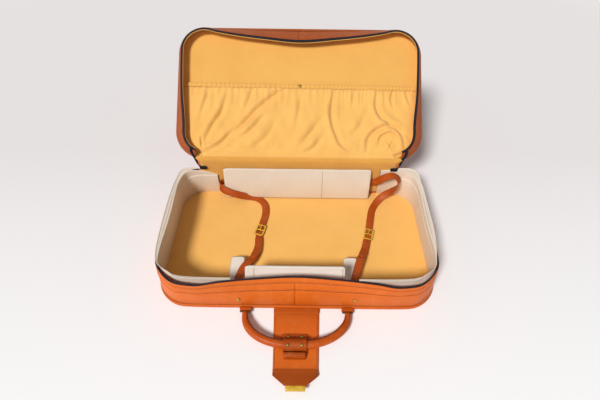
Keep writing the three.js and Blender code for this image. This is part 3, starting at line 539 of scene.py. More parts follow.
def base_inset(place, z):
    """How far the base's wall lies inside the case's edge at a height."""
    lean = BASE_DROOP * read_shares(BASE_LEAN, place[4]) * (z / BASE_HEIGHT) ** 1.7
    pulled = corner_pull(place) * (3 + 7 * z / BASE_HEIGHT) - 7 * back_swell(place) * (z / BASE_HEIGHT) ** 2
    return BASE_START + lean + pulled


def lid_inset(place, z):
    """The same for the lid's wall, which droops inwards towards its zip."""
    return LID_DROOP * read_shares(LID_LEAN, place[4]) * (max(0, -z) / LID_WALL) ** 1.3


def doubled(outer, thick, rise=0):
    """A section of even thickness behind its outer line."""
    return outer + [(depth + thick, z + rise) for depth, z in reversed(outer)]


def eased(count):
    """Shares from 0 to 1 that lie closer together at both ends."""
    shares = [i / count for i in range(count + 1)]
    return [0.5 - 0.5 * (0.45 * math.cos(PI * s) + 0.55 * (1 - 2 * s)) for s in shares]


def laid(shape, scale, shift):
    """A shape that is scaled or mirrored, then shifted."""
    return np.array(shape[0]) * scale + shift, shape[1]


def panel(half, length, thickness, lift, across=40, along=30):
    """A panel from its foot along +Y with rolled edges. half is its half width, lift is its rise."""
    rows = [length * s for s in eased(along)]
    columns = [2 * s - 1 for s in eased(across)]
    points, top, low = [], {}, {}
    for i, y in enumerate(rows):
        for j, s in enumerate(columns):
            x = half(y) * s
            edge = max(0, min(half(y) - abs(x), y, length - y))
            bulge = math.sqrt(1 - (1 - min(1, edge / thickness)) ** 2) * thickness / 2
            z = lift(x, y) + thickness / 2
            top[i, j] = low[i, j] = len(points)
            points.append((x, y, z + bulge))
            if 0 < i < along and 0 < j < across:
                low[i, j] = len(points)
                points.append((x, y, z - bulge))
    faces = []
    for i in range(along):
        for j in range(across):
            faces.append((top[i, j], top[i, j + 1], top[i + 1, j + 1], top[i + 1, j]))
            faces.append((low[i, j], low[i + 1, j], low[i + 1, j + 1], low[i, j + 1]))
    return points, faces


def round_half(width, length, corner):
    """The half width of a panel with round corners at each distance along it."""
    def half(y):
        cut = max(0, corner - min(y, length - y))
        return width / 2 - corner + math.sqrt(max(0, corner * corner - cut * cut))
    return half


def along_line(line, normals, pitch):
    """Stops at equal steps along a line: the place, the way on and the direction that it faces."""
    line = np.asarray(line, float)
    normals = np.broadcast_to(np.asarray(normals, float), line.shape)
    gone = np.concatenate([[0], np.cumsum(np.linalg.norm(np.diff(line, axis=0), axis=1))])
    at = lambda stop, table: np.array([np.interp(stop, gone, table[:, axis]) for axis in range(3)])
    for k in range(int(gone[-1] / pitch)):
        stop = (k + 0.5) * pitch
        yield at(stop, line), at(stop + 0.5, line) - at(stop, line), at(stop, normals)


def stitches(name, runs, finish, slot, body, pitch=4.6, length=3.2, thick=0.8):
    """One mesh of sewn stitches along runs of points, each with the direction that it faces."""
    sewn = []
    for line, normals in runs:
        for centre, ahead, up in along_line(line, normals, pitch):
            ahead /= np.linalg.norm(ahead) + 1e-9
            side = np.cross(up, ahead)
            side /= np.linalg.norm(side) + 1e-9
            up = np.cross(ahead, side)
            rounds = [side * math.cos(j * PI / 3) + up * math.sin(j * PI / 3) for j in range(6)]
            sewn.append(loft([[centre + ahead * length * share + out * thick / 2 * size for out in rounds]
                              for share, size in ((-0.5, 0.35), (-0.32, 1), (0.32, 1), (0.5, 0.35))]))
    return piece(name, joined(sewn), finish, slot, body)


def outline_run(places, depth, z, place=None, up=0.0):
    """A run of stitches at a depth and height that may change along the edge."""
    line = [inset(p, depth(p), z) for p in places]
    normals = [(p[2], p[3], up) for p in places]
    if place is None:
        return line, normals
    return place(line), place(normals) - place([(0, 0, 0)])


TOOTH_PITCH, TOOTH_HALF = 2.6, 0.8


def zip_teeth(places, depth, low, high):
    """A row of small teeth along a tape, each narrower at its tip."""
    line = [inset(p, depth(p), low) for p in places]
    teeth = []
    for centre, ahead, normal in along_line(line, [(p[2], p[3], 0) for p in places], TOOTH_PITCH):
        nx, ny = normal[:2]
        rings = []
        for z, size in ((low, 1.0), ((low + high) / 2, 1.0), (high, 0.6)):
            rings.append([(centre[0] + (nx * out - ny * TOOTH_HALF * side) * size,
                           centre[1] + (ny * out + nx * TOOTH_HALF * side) * size, z)
                          for side, out in ((-1, -1), (1, -1), (1, 1), (-1, 1))])
        teeth.append(loft(rings))
    return joined(teeth)


SHARP_FROM, SMOOTH_TO = math.radians(35), math.radians(28)


def softened(finish, *names, bevel=0.5, grow=(1, 1, 1), shift=0):
    """Stands a copy with rounded edges in for each CAD node, stretched a little or shifted along X."""
    for name in names:
        node = frame["nodes"][name]
        node.data.materials.clear()
        node.data.materials.append(finish)
        work = bmesh.new()
        work.from_mesh(node.data)
        bmesh.ops.remove_doubles(work, verts=work.verts, dist=1e-6)
        bmesh.ops.dissolve_limit(work, angle_limit=math.radians(1), verts=work.verts, edges=work.edges)
        closed = [e for e in work.edges if len(e.link_faces) == 2]
        sharp = [e for e in closed if e.calc_face_angle(0) > SHARP_FROM]
        bmesh.ops.bevel(work, geom=sharp, offset=bevel * METRE, segments=3, profile=0.5, affect="EDGES",
                        clamp_overlap=True)
        bmesh.ops.triangulate(work, faces=[f for f in work.faces if len(f.verts) > 4])
        for vertex in work.verts:
            vertex.co = Vector([c * g for c, g in zip(vertex.co, grow)]) + Vector((shift * METRE, 0, 0))
        mesh = bpy.data.meshes.new(name + "_soft")
        work.to_mesh(mesh)
        work.free()
        mesh.shade_smooth()
        mesh.set_sharp_from_angle(angle=SMOOTH_TO)
        mesh.materials.append(finish)
        made = stood(name + "_soft", mesh)
        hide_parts(name)
        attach(made, HOME[name])


# Base: walls, zip and piping
BASE_LEATHER, LID_LEATHER = 1.5, 1.6
WALL_SEAM_Z, TEETH_TOP, LID_TEETH_TOP = 50, 78.2, -25.4
WALL_LEVELS = (9.3, 9.8, 10.6, 12, 16, 22, 30, 38, 45, 48.6, 49.3, 50, 50.7, 51.4, 53, 57, 61, 64,
               65.2, 65.7, 66)


def base_wall_section(place):
    """The leather wall, with the groove of its front seam, its lengthwise seam and soft dents."""
    away = abs(place[5] - SEAM)
    groove = 1.3 * hump(away, 1.6)
    outer = []
    for z in WALL_LEVELS:
        share = (z - WALL_FOOT) / (WALL_TOP - WALL_FOOT)
        tuck = 2.1 * math.exp(-(z - WALL_FOOT) / 1.2) + 1.9 * math.exp(-(WALL_TOP - z) / 0.8)
        tuck += 1.7 * hump(z - WALL_SEAM_Z, 0.8) - 0.5 * hump(z - WALL_SEAM_Z - 2.6, 1.6)
        pull = 0.45 * math.sin(PI * share) * ripple(place[5], z * 0.6, 3, 46)
        near = 0.5 * hump(away, 26) * math.sin(PI * share) * ripple(place[5], z * 2, 7, 17)
        outer.append((base_inset(place, z) + tuck + groove + max(-0.5, pull + near), z))
    return doubled(outer, BASE_LEATHER)


BEAD_BACK, BEAD_DEPTH = 5.5, 2.4


def bead(low, high, give=0):
    """The rolled bead of piping between two heights; it may give way at the front corners."""
    middle, half = (low + high) / 2, (high - low) / 2
    section = [(BEAD_DEPTH * (1 - math.cos(a)), middle + half * math.sin(a))
               for a in np.linspace(-1.35, 1.35, 11)]
    return lambda place: [(depth + give * corner_pull(place), z) for depth, z in section] + [
        (BEAD_BACK, high), (BEAD_BACK, low)]


def slab(low_depth, high_depth, low, high, thick, corner):
    """A section between two heights with its corners rounded."""
    return rounded(doubled([(low_depth, low), (high_depth, high)], thick), corner)


def band_section(place):
    """The leather band under the zip."""
    return slab(base_inset(place, BAND_LOW), base_inset(place, BAND_HIGH), BAND_LOW, BAND_HIGH, 3, 0.9)


def base_tape_section(place):
    """The tape of the base's zip."""
    depth = base_inset(place, TAPE_HIGH) + 0.6
    return slab(depth, depth, TAPE_LOW, TAPE_HIGH, 2.8, 0.6)


front = BASE.length / 2
zipped = BASE.places(ZIP_START, BASE.length - ZIP_START)
for side, places in wall_halves(BASE, SEAM):
    dress(f"wall_{side}", f"base_gusset_{side}", band(places, base_wall_section), GROOVE_SHADED_WALL_TAN)
dress("base_bead", "base_piping", band(BASE.whole(), bead(0.5, 9.0, give=3), closed=True), PIPING)
dress("zip_band", "base_zip_band", band(zipped, band_section), GROOVE_SHADED_WALL_TAN)
dress("zip_tape_base", "base_zip_tape", band(zipped, base_tape_section), ZIP_TAPE)
teeth = zip_teeth(zipped, lambda p: base_inset(p, TAPE_HIGH) + 2.4, TAPE_HIGH - 0.1, TEETH_TOP)
piece("zip_teeth_base", teeth, TEETH, "black_zip", "case", smooth=False)

# Thread along the seams of the base: its height, then how deep it lies in the wall
case_runs = []
for z, deep in ((68.6, -0.05), (53.4, -0.25), (12.6, 0.2)):
    case_runs.append(outline_run(zipped, lambda p: base_inset(p, z) + deep, z))
stitches("case_stitches", case_runs, THREAD, "tan_leather", "case")
softened(TAN, "base_panel", "spine", bevel=0.8)
softened(GRIP, "handle_chape_left", "handle_chape_right", bevel=0.8)
spine_half, spine_back = [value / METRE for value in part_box("spine")[1][:2]]
spine_half, spine_back = spine_half - 4, spine_back + 0.05
spine_lines = [[(x, spine_back, z) for x in np.linspace(-spine_half, spine_half, 60)] for z in (14, 18)]
spine_lines += [[(sign * (spine_half - step), spine_back, z) for z in np.linspace(20, 76, 20)]
                for sign in (-1, 1) for step in (0, 4)]
stitches("spine_stitches", [(line, (0, 1, 0)) for line in spine_lines], THREAD, "tan_leather", "case")
softened(COTTON, "floor_board", bevel=0.9, grow=(1.0068, 1.0127, 1))
softened(ZIP_TAPE, "zip_end_left", "zip_end_right", bevel=1.2)

# Canvas collar
COLLAR_HEIGHT = {"left": [(0.228, 0.8), (0.262, 0.9), (0.318, 1.01), (0.36, 1), (0.7, 1), (0.75, 0.987)],
                 "right": [(0.232, 1.03), (0.29, 1.06), (0.34, 1.02), (0.386, 1), (0.7, 1), (0.75, 0.987)]}
COLLAR_INSET = [(0.27, 0.36), (0.386, 0.49), (0.5, 0.61), (0.614, 0.49), (0.734, 1)]
COLLAR_EDGE = {
    "left": [(0.24, 0.4), (0.37, 1), (0.43, -0.3), (0.5, 0.4), (0.55, 1.8), (0.594, 3.6), (0.63, 8),
             (0.69, 17)],
    "right": [(0.24, 0.4), (0.37, 1.2), (0.43, 1.2), (0.5, 1.2), (0.53, 2), (0.57, 5), (0.614, 10),
              (0.65, 13), (0.69, 17)]}
CORNER_OUT = {"left": 12, "right": 15}
COLLAR_FOOT, COLLAR_TOP, COLLAR_DEEP, COLLAR_THICK = 6, 79.5, 21.4, 1.6
COLLAR_SPANS = {"left": (183, front - 118), "right": (front + 111, BASE.length - 183)}


def collar_section(side):
    """The canvas collar: up along the wall, then flared out to its rim."""
    def section(place):
        top = COLLAR_TOP * read_shares(COLLAR_HEIGHT[side], place[4])
        pull, swell = 6 * corner_pull(place), back_swell(place)
        deep = COLLAR_DEEP * read_shares(COLLAR_INSET, place[4]) + pull - 6 * swell
        rim = min(read_shares(COLLAR_EDGE[side], place[4]) + pull - CORNER_OUT[side] * swell, deep - 0.3)
        knee = COLLAR_FOOT + 0.35 * (deep - COLLAR_FOOT)
        sag = 0.5 * ripple(place[5], 0, 11, 60)
        outer = [(COLLAR_FOOT, ON_FLOOR - 0.7), ((COLLAR_FOOT + knee) / 2 - 0.3, 26), (knee, 45),
                 ((knee + deep) / 2 - 0.5 + sag * 0.4, 60)]
        corners = outer + [(deep, top - 1.45), (rim, top - 1.1), (rim, top), (rim + 1.5, top)]
        corners += [(depth + COLLAR_THICK, z) for depth, z in reversed(outer)]
        return rounded(corners, 0.6)
    return section


collar_runs = []
for side, (start, end) in COLLAR_SPANS.items():
    section = collar_section(side)
    dress(f"collar_canvas_{side}", f"collar_{side}", band(BASE.places(start, end), section), BOUNCE_LIT_CANVAS)
    places = BASE.places(start + 4, end - 4)
    line = []
    for p in places:
        ring = section(p)
        top = max(z for depth, z in ring)
        rim = max(depth for depth, z in ring if z > top - 0.4)
        low = max(depth for depth, z in ring if 59 < z < 61.5)
        line.append(inset(p, rim + (low - rim) * 4 / (top - 60) + 0.2, top - 4))
    collar_runs.append((line, [(-p[2], -p[3], 0.5) for p in places]))
stitches("collar_stitches", collar_runs, PALE_THREAD, "pale_canvas", "case")


# Canvas tabs and flaps: width, length and thickness, then the X, Y and Z of the foot with its pitch
TAB_SIZE, FRONT_SIZE, BACK_SIZE = (29, 88, 1.6), (188, 74, 2.4), (331, 79, 2.2)
TAB_FEET = {"left": (-118.5, -135, ON_FLOOR, 9.5), "right": (107, -135, ON_FLOOR, 9.5)}
FRONT_FOOT = (-3, -141, ON_FLOOR, 52)
BACK_FOOT = (-2.5, 125, ON_FLOOR, 77)


def cloth_flap(name, node, size, foot, bow, finish=CANVAS):
    """A piece of canvas that is sewn down along its foot and pitched up from it."""
    width, length, thickness = size

    def lift(x, y):
        return bow * math.sin(PI * y / length) + 0.35 * ripple(x, y, len(name), 55) * min(1, y / 12)

    half = round_half(width, length, 6)
    shape = panel(half, length, thickness, lift, round(width / 5), round(length / 4))
    return dress(name, node, moved(shape, lambda points: tilted(points, *foot)), finish)


for side, foot in TAB_FEET.items():
    cloth_flap(f"tab_canvas_{side}", f"front_tab_{side}", TAB_SIZE, foot, 0.4)
cloth_flap("front_flap_canvas", "front_flap", FRONT_SIZE, FRONT_FOOT, 0.5)
cloth_flap("back_flap_canvas", "back_flap", BACK_SIZE, BACK_FOOT, 0.5, finish=BOUNCE_LIT_CANVAS)


def canvas_run(line, foot):
    """A run of stitches on the face of a pitched piece of canvas."""
    return tilted(line, *foot), tilted([(0, 0, 1)], 0, 0, 0, foot[3])


def frame_run(size, edge, height, foot):
    """A run round three sides of a piece of canvas."""
    x, y = size[0] / 2 - edge, size[1] - edge
    corners = [(-x, 6), (-x, y - 4), (4 - x, y), (x - 4, y), (x, y - 4), (x, 6)]
    return canvas_run([(*corner, height) for corner in corners], foot)


def crease_run(x, size, height, rows, foot):
    """A run along a crease across a piece of canvas; sewn in the darker crease thread, it also paints the
    crease's shade.
    """
    return canvas_run([(x, y, height + 0.5 * math.sin(PI * y / size[1])) for y in rows], foot)


def canvas_stitches(name, runs, body, finish=PALE_THREAD, **sizes):
    """Stitches in canvas."""
    stitches(name, runs, finish, "pale_canvas", body, **sizes)


# Darker thread along the creases: real stitches, darkened as painted shade of the creases.
CREASE = dict(finish=CREASE_SHADE_THREAD, pitch=3, length=2.9, thick=0.9)
canvas_stitches("tab_stitches", [frame_run(TAB_SIZE, 3, 1.7, foot) for foot in TAB_FEET.values()], "case")
front_runs = [frame_run(FRONT_SIZE, 5, height, FRONT_FOOT) for height in (2.75, -0.3)]
canvas_stitches("front_flap_stitches", front_runs, "front_hold_down")
front_creases = [crease_run(x, FRONT_SIZE, 2.75, range(4, 71, 3), FRONT_FOOT) for x in (-77, 88)]
canvas_stitches("front_flap_crease", front_creases, "front_hold_down", **CREASE)
canvas_stitches("back_flap_stitches", [frame_run(BACK_SIZE, 5, 2.5, BACK_FOOT)], "back_hold_down")
back_creases = [crease_run(56, BACK_SIZE, 2.45, range(3, 77, 3), BACK_FOOT)]
canvas_stitches("back_flap_crease", back_creases, "back_hold_down", **CREASE)

# Leather straps: stops as shares of the half width, half depth and height, with the direction of the width
STRAP_ROUTES = {
    "back_left": [
        (-0.585, 0.9613, 0.415, 0, 0, 1), (-0.63, 0.952, 0.415, 0, 0, 1), (-0.661, 0.907, 0.4, 0, 0.15, 1),
        (-0.652, 0.847, 0.371, 0.1, 0.35, 0.9), (-0.611, 0.8, 0.321, 0.3, 0.5, 0.8),
        (-0.541, 0.78, 0.24, 0.25, 0.6, 0.7), (-0.4648, 0.7949, 0.1212, 0.2, 0.7, 0.55),
        (-0.3982, 0.8179, 0.03, 0.25, 0.85, 0.3), (-0.3237, 0.7703, 0, 0.45, 0.85, 0),
        (-0.2804, 0.6679, 0, 0.9, 0.35, 0), (-0.2687, 0.51, 0, 1, 0, 0), (-0.2827, 0.3362, 0, 1, -0.2, 0),
        (-0.2985, 0.178, 0, 1, -0.25, 0)],
    "front_left": [
        (-0.3003, 0.1693, 0, 1, -0.25, 0), (-0.3041, 0.0167, 0, 1, -0.2, 0),
        (-0.3021, -0.095, 0.01, 1, -0.15, 0), (-0.3135, -0.23, 0.06, 1, -0.15, 0),
        (-0.337, -0.3408, 0.1212, 1, -0.25, 0), (-0.3641, -0.4221, 0.1775, 1, -0.35, 0),
        (-0.3939, -0.5157, 0.1837, 1, -0.35, 0), (-0.4181, -0.6359, 0.1275, 1, -0.35, 0),
        (-0.4499, -0.8339, 0.055, 1, -0.35, 0)],
    "back_right": [
        (0.563, 0.9613, 0.415, 0, 0, 1), (0.615, 0.951, 0.4275, 0, 0.05, 1),
        (0.656, 0.92, 0.5395, 0, 0.35, 0.94), (0.6886, 0.893, 0.6984, 0, 0.65, 0.76),
        (0.7264, 0.873, 0.8219, 0, 0.88, 0.47), (0.7789, 0.86, 0.8927, 0, 1, 0.05),
        (0.8226, 0.837, 0.7663, 0.3, 0.9, 0.3), (0.8188, 0.8, 0.5896, 0.5, 0.8, 0.3),
        (0.7756, 0.8425, 0.2775, 0.2, 0.9, 0.4), (0.7106, 0.8127, 0.1212, -0.2, 0.85, 0.4),
        (0.6594, 0.7259, 0.015, -0.7, 0.7, 0.05), (0.6196, 0.5934, 0, -0.9, 0.4, 0),
        (0.5991, 0.4472, 0, -1, 0.2, 0), (0.58, 0.28, 0, -1, 0.22, 0), (0.5639, 0.1373, 0, -1, 0.28, 0)],
    "front_right": [
        (0.5622, 0.1287, 0, 1, -0.28, 0), (0.5398, -0.008, 0, 1, -0.28, 0),
        (0.5209, -0.1286, 0.0125, 1, -0.28, 0), (0.4927, -0.2593, 0.1087, 1, -0.32, 0),
        (0.4699, -0.3567, 0.2075, 1, -0.32, 0), (0.4485, -0.4644, 0.18, 1, -0.28, 0),
        (0.4161, -0.6638, 0.1125, 1, -0.25, 0), (0.3918, -0.8399, 0.0525, 1, -0.22, 0)],
}
STRAP_WIDTH, STRAP_THICK, POINT_START = 16, 2.4, 0.78


def spline(stops, t):
    """A smooth curve through the stops at a share of their count."""
    spans = len(stops) - 1
    index = min(int(t * spans), spans - 1)
    weight = t * spans - index
    a = stops[index - 1] if index else 2 * stops[0] - stops[1]
    b, c = stops[index], stops[index + 1]
    d = stops[index + 2] if index + 2 <= spans else 2 * stops[-1] - stops[-2]
    gaps = [max(np.dot(q - p, q - p) ** 0.25, 1e-4) for p, q in ((a, b), (b, c), (c, d))]
    leave = ((b - a) / gaps[0] - (c - a) / (gaps[0] + gaps[1]) + (c - b) / gaps[1]) * gaps[1]
    reach = ((c - b) / gaps[1] - (d - b) / (gaps[1] + gaps[2]) + (d - c) / gaps[2]) * gaps[1]
    square, cube = 3 * (c - b) - 2 * leave - reach, 2 * (b - c) + leave + reach
    return b + weight * (leave + weight * (square + weight * cube))


def travel(stops, count, reach, start=0.0, end=1.0):
    """Even steps along a smooth curve: the share of the way, the place and the way on."""
    for i in range(count + 1):
        t = start + (end - start) * i / count
        along = spline(stops, min(1, t + reach)) - spline(stops, max(0, t - reach))
        yield t, spline(stops, t), along / np.linalg.norm(along)


def flat_ring(centre, side, up, half, thick, corner):
    """A ring with the section of a flat strip; half and thick are halves of its width and thickness."""
    section = rounded([(half, thick), (-half, thick), (-half, -thick), (half, -thick)], corner, 2)
    return [centre + side * a + up * b for a, b in section]


def strap(route, start=0.0, end=1.0, lift=0.0, pointed=False, steps=130):
    """Rings of a strap along its route, and the two lines that its edges are sewn on."""
    size = np.array([CASE_WIDTH / 2, CASE_DEPTH / 2, BASE_HEIGHT])
    stops = [np.array(stop[:3]) * size + (0, 0, ON_FLOOR + STRAP_THICK / 2) for stop in route]
    widths = [np.array(stop[3:], float) for stop in route]
    spans = len(route) - 1
    rings, left, right, ups = [], [], [], []
    for i, (t, place, along) in enumerate(travel(stops, steps, 1e-4, start, end)):
        stop = min(int(t * spans), spans - 1)
        width = widths[stop] + (widths[stop + 1] - widths[stop]) * (t * spans - stop)
        width = width - along * np.dot(width, along)
        width /= np.linalg.norm(width)
        up = np.cross(along, width)
        centre = place + up * (lift if up[2] >= 0 else -lift)
        half = STRAP_WIDTH / 2
        if pointed and i > steps * POINT_START:
            share = (i / steps - POINT_START) / (1 - POINT_START)
            half *= max(0.2, math.sqrt(max(0, 1 - share * share)))
        rings.append(flat_ring(centre, width, up, half, STRAP_THICK / 2, 0.8))
        if half > 6:
            facing = up if up[2] >= -0.2 else -up
            left.append(centre + facing * 1.3 + width * (half - 2.2))
            right.append(centre + facing * 1.3 - width * (half - 2.2))
            ups.append(facing)
    return rings, left, right, ups


strap_runs = []
for name, route in STRAP_ROUTES.items():
    rings, left, right, ups = strap(route)
    dress(f"leather_strap_{name}", f"strap_{name}", loft(rings), STRAP)
    strap_runs += [(left, ups), (right, ups)]
for side, (start, end) in {"left": (0.1, 0.5), "right": (0.13, 0.52)}.items():
    rings, left, right, ups = strap(STRAP_ROUTES[f"front_{side}"], start, end, STRAP_THICK + GAP, True, 40)
    dress(f"leather_tongue_{side}", f"strap_tongue_{side}", loft(rings), STRAP)
    strap_runs += [(left, ups), (right, ups)]
stitches("strap_stitches", strap_runs, THREAD, "strap_leather", "case", pitch=3.6, length=2.5, thick=0.6)

softened(BRASS, "buckle_frame_left", "buckle_frame_right", bevel=0.8)
softened(BRASS, "buckle_prong_left", "buckle_prong_right", "lock_plate", "lock_slide", "hasp_plate",
         bevel=0.6)
softened(BRASS, "zip_slider_left", bevel=0.6, shift=4.4)
softened(BRASS, "zip_slider_right", bevel=0.6, shift=-4.4)
# The handle's pins are dark as painted shade.
softened(PIN_IN_PAINTED_SHADE, "handle_pin_left", "handle_pin_right", bevel=0.4)
softened(AGED_BRASS, "keeper_tab_stud_left", "keeper_tab_stud_right", "keeper_strap_stud_left",
         "keeper_strap_stud_right", "pocket_snap", bevel=0.4)
softened(STUD_BRASS, "wall_stud_left", "wall_stud_right", bevel=0.3)

# Leather pulls on the zip sliders
PULL_X, PULL_Y, PULL_Z = 269.6, 85, 68.2
PULL_WIDTH, PULL_LENGTH, PULL_THICK = 8, 32, 1.8
for side, sign in SIDES:
    half = round_half(PULL_WIDTH, PULL_LENGTH, 3)
    points, faces = panel(half, PULL_LENGTH, PULL_THICK, lambda x, y: 0, 10, 24)
    placed = [(sign * PULL_X + (z - PULL_THICK / 2), PULL_Y + x, PULL_Z - y) for x, y, z in points]
    dress(f"leather_pull_{side}", f"zip_pull_{side}", (placed, faces), STRAP)

# Lid: walls, zip, piping and linings
lid_zipped = LID.places(ZIP_START, LID.length - ZIP_START)


def lid_wall_section(place):
    """The lid's leather wall with its seam and soft dents."""
    away = abs(place[5] - LID_SEAM)
    groove = 0.9 * hump(away, 1.6)
    outer = []
    for z in np.linspace(LID_WALL_HIGH, LID_WALL_LOW, 10):
        share = (LID_WALL_HIGH - z) / (LID_WALL_HIGH - LID_WALL_LOW)
        tuck = 0.8 * math.exp(-(LID_WALL_HIGH - z) / 1.2)
        pull = 0.4 * math.sin(PI * share) * ripple(place[5], z * 1.5, 21, 34)
        outer.append((lid_inset(place, z) + tuck + groove + max(-0.4, pull), z))
    return doubled(outer, LID_LEATHER, 1.1)


for side, places in wall_halves(LID, LID_SEAM):
    shape = moved(band(places, lid_wall_section), lid_place)
    dress(f"lid_wall_{side}", f"lid_gusset_{side}", shape, SHADED_TAN)
dress("lid_bead", "lid_piping", moved(band(lid_zipped, bead(-5, 4)), lid_place), SHADED_TAN)


def lid_tape_section(place):
    """The tape of the lid's zip, narrower at the front."""
    low = lid_inset(place, LID_TAPE_LOW) + 0.6
    wide = 3.4 - 1.2 * max(0, min(1, (place[4] - 0.6) / 0.2))
    return rounded([(low, LID_TAPE_LOW), (lid_inset(place, LID_WALL_LOW), LID_TAPE_HIGH),
                    (low + wide, LID_TAPE_HIGH), (low + wide, LID_TAPE_LOW)], 0.6)


dress("zip_tape_lid", "lid_zip_tape", moved(band(lid_zipped, lid_tape_section), lid_place), ZIP_TAPE)
teeth = zip_teeth(lid_zipped, lambda p: lid_inset(p, LID_TAPE_LOW) + 1.7, LID_TAPE_LOW + 0.1, LID_TEETH_TOP)
piece("zip_teeth_lid", moved(teeth, lid_place), TEETH, "black_zip", "lid", smooth=False)
lid_runs = []
for z in (-9.2, -20.4):
    lid_runs.append(outline_run(lid_zipped, lambda p: lid_inset(p, z) - 0.05, z, lid_place))
edge_places = LID.places(ZIP_START + 6, LID.length - ZIP_START - 6)
lid_runs.append(outline_run(edge_places, lambda p: 9.5, 3.7, lid_place, 30))
stitches("lid_stitches", lid_runs, THREAD, "tan_leather", "lid")
softened(TAN, "lid_panel", bevel=0.8)
softened(SHADED_LID_COTTON, "lid_lining_board", bevel=0.6)


def wall_lining_section(place):
    """The loose cotton over the lid's wall."""
    high, low = -2.6, LID_TAPE_LOW + 0.5
    lean = read_shares(LID_LEAN, place[4])
    outer = []
    for z in np.linspace(high, low, 11):
        share = (high - z) / (high - low)
        pull = 0.55 * math.sin(PI * share) * ripple(place[5], z * 2, 31, 22)
        slack = (3.4 + 2.7 * lean) * (1 - share) + 4.4 * share
        outer.append((max(6.3, lid_inset(place, z) + slack + pull), z))
    return doubled(outer, 0.9)


shape = moved(band(lid_zipped, wall_lining_section), lid_place)
dress("lid_wall_cotton", "lid_wall_lining", shape, SHADED_LID_COTTON)

# Gathered pocket: a crease has stops at shares of the half width and depth, then its height and width
POCKET_BACK, POCKET_DEPTH, POCKET_TOP, POCKET_INSET = 3.5, 153.5, -2.6, 14
POCKET_HALF = CASE_WIDTH / 2 - POCKET_INSET
POCKET_ROLL, POCKET_CROWN, POCKET_THICK, FINE_FROM = 26, 5.6, 0.8, 45
HEM_WIDTH, HEM_THICK, HEM_TOP, HEM_TILT = 10.5, 2.5, -3.9, 0.008
HEM_BACK = POCKET_BACK + POCKET_DEPTH + GAP
CREASE_STRENGTH = 1.45 * 0.85
CREASES = [
    ([(-0.84, 0.03), (-0.74, 0.11), (-0.65, 0.21), (-0.57, 0.37)], 3.0, 4.0),
    ([(-0.65, 0.21), (-0.5, 0.42), (-0.37, 0.66), (-0.24, 0.86), (-0.13, 0.98)], 4.0, 6.0),
    ([(-0.5, 0.27), (-0.4, 0.39), (-0.31, 0.57)], 3.0, 6.0),
    ([(-0.8, 0.23), (-0.73, 0.46), (-0.66, 0.65), (-0.63, 0.85)], 3.4, 5.0),
    ([(-0.84, 0.56), (-0.8, 0.82), (-0.78, 0.94)], 2.6, 5.0),
    ([(-0.47, 0.65), (-0.43, 0.83), (-0.41, 0.98)], 2.6, 5.0),
    ([(-0.83, 0.29), (-0.825, 0.2), (-0.82, 0.12)], 2.6, 2.4),
    ([(0.17, 0.52), (0.09, 0.33), (0.02, 0.18)], 3.4, 7.0),
    ([(0.02, 0.91), (0.0, 0.7), (-0.02, 0.47)], 2.2, 6.0),
    ([(0.3, 0.96), (0.28, 0.77), (0.28, 0.58), (0.31, 0.38), (0.36, 0.19), (0.46, 0.09)], 4.0, 5.0),
    ([(0.47, 0.97), (0.46, 0.79)], 2.6, 4.0),
    ([(0.67, 0.96), (0.66, 0.78), (0.69, 0.63), (0.75, 0.53), (0.83, 0.45), (0.91, 0.35)], 4.2, 5.0),
    ([(0.58, 0.12), (0.59, 0.27), (0.64, 0.38), (0.73, 0.46), (0.82, 0.43), (0.88, 0.32), (0.9, 0.17)],
     4.0, 4.6),
    ([(0.68, 0.22), (0.7, 0.31), (0.77, 0.36), (0.83, 0.3)], 3.2, 3.2),
    ([(0.755, 0.235), (0.8, 0.12)], 2.6, 2.0),
    ([(0.8, 0.235), (0.755, 0.12)], 2.6, 2.0),
    ([(0.8, 0.98), (0.79, 0.87), (0.8, 0.78)], 3.2, 3.6),
    ([(0.92, 0.99), (0.93, 0.88), (0.94, 0.83)], 2.6, 3.2),
    ([(0.2, 0.3), (0.12, 0.13), (0.02, 0.06)], 2.6, 6.0),
    ([(0.56, 0.62), (0.5, 0.42), (0.42, 0.3)], 2.4, 7.0),
    ([(-0.2, 0.5), (-0.28, 0.28), (-0.4, 0.12)], 2.2, 7.0),
]


def pocket_half(depth):
    """Half the pocket's width at a depth; it narrows towards the spine."""
    radius = CORNER - POCKET_INSET
    rise = min(1, max(0, (CORNER - depth) / radius))
    return CASE_WIDTH / 2 - CORNER + radius * math.sqrt(1 - rise * rise)


def creased(x, depth, stops, height, width):
    """A valley with a ridge on its left side along a curve."""
    line = [np.array([u * POCKET_HALF, POCKET_BACK + v * POCKET_DEPTH]) for u, v in stops]
    curve = np.array([spline(line, k / 40) for k in range(41)])
    ahead = np.gradient(curve, axis=0)
    ahead /= np.linalg.norm(ahead, axis=1)[:, None]
    away = np.stack([x[..., None] - curve[:, 0], depth[..., None] - curve[:, 1]], axis=-1)
    nearest = (away ** 2).sum(-1).argmin(-1)
    gap = np.take_along_axis(away, nearest[..., None, None], -2)[..., 0, :]
    facing = ahead[nearest]
    side = (gap[..., 0] * facing[..., 1] - gap[..., 1] * facing[..., 0]) * np.sign(facing[..., 1] + 1e-6)
    past = np.abs((gap * facing).sum(-1))
    taper = np.sin(PI * (0.12 + 0.76 * nearest / 40)) * hump(past, 2 * width)
    valley = hump(side, 0.75 * width)
    ridge = hump(side + 1.9 * width, 1.3 * width) + 0.4 * hump(side - 2 * width, 1.3 * width)
    return CREASE_STRENGTH * height * taper * (ridge - valley)


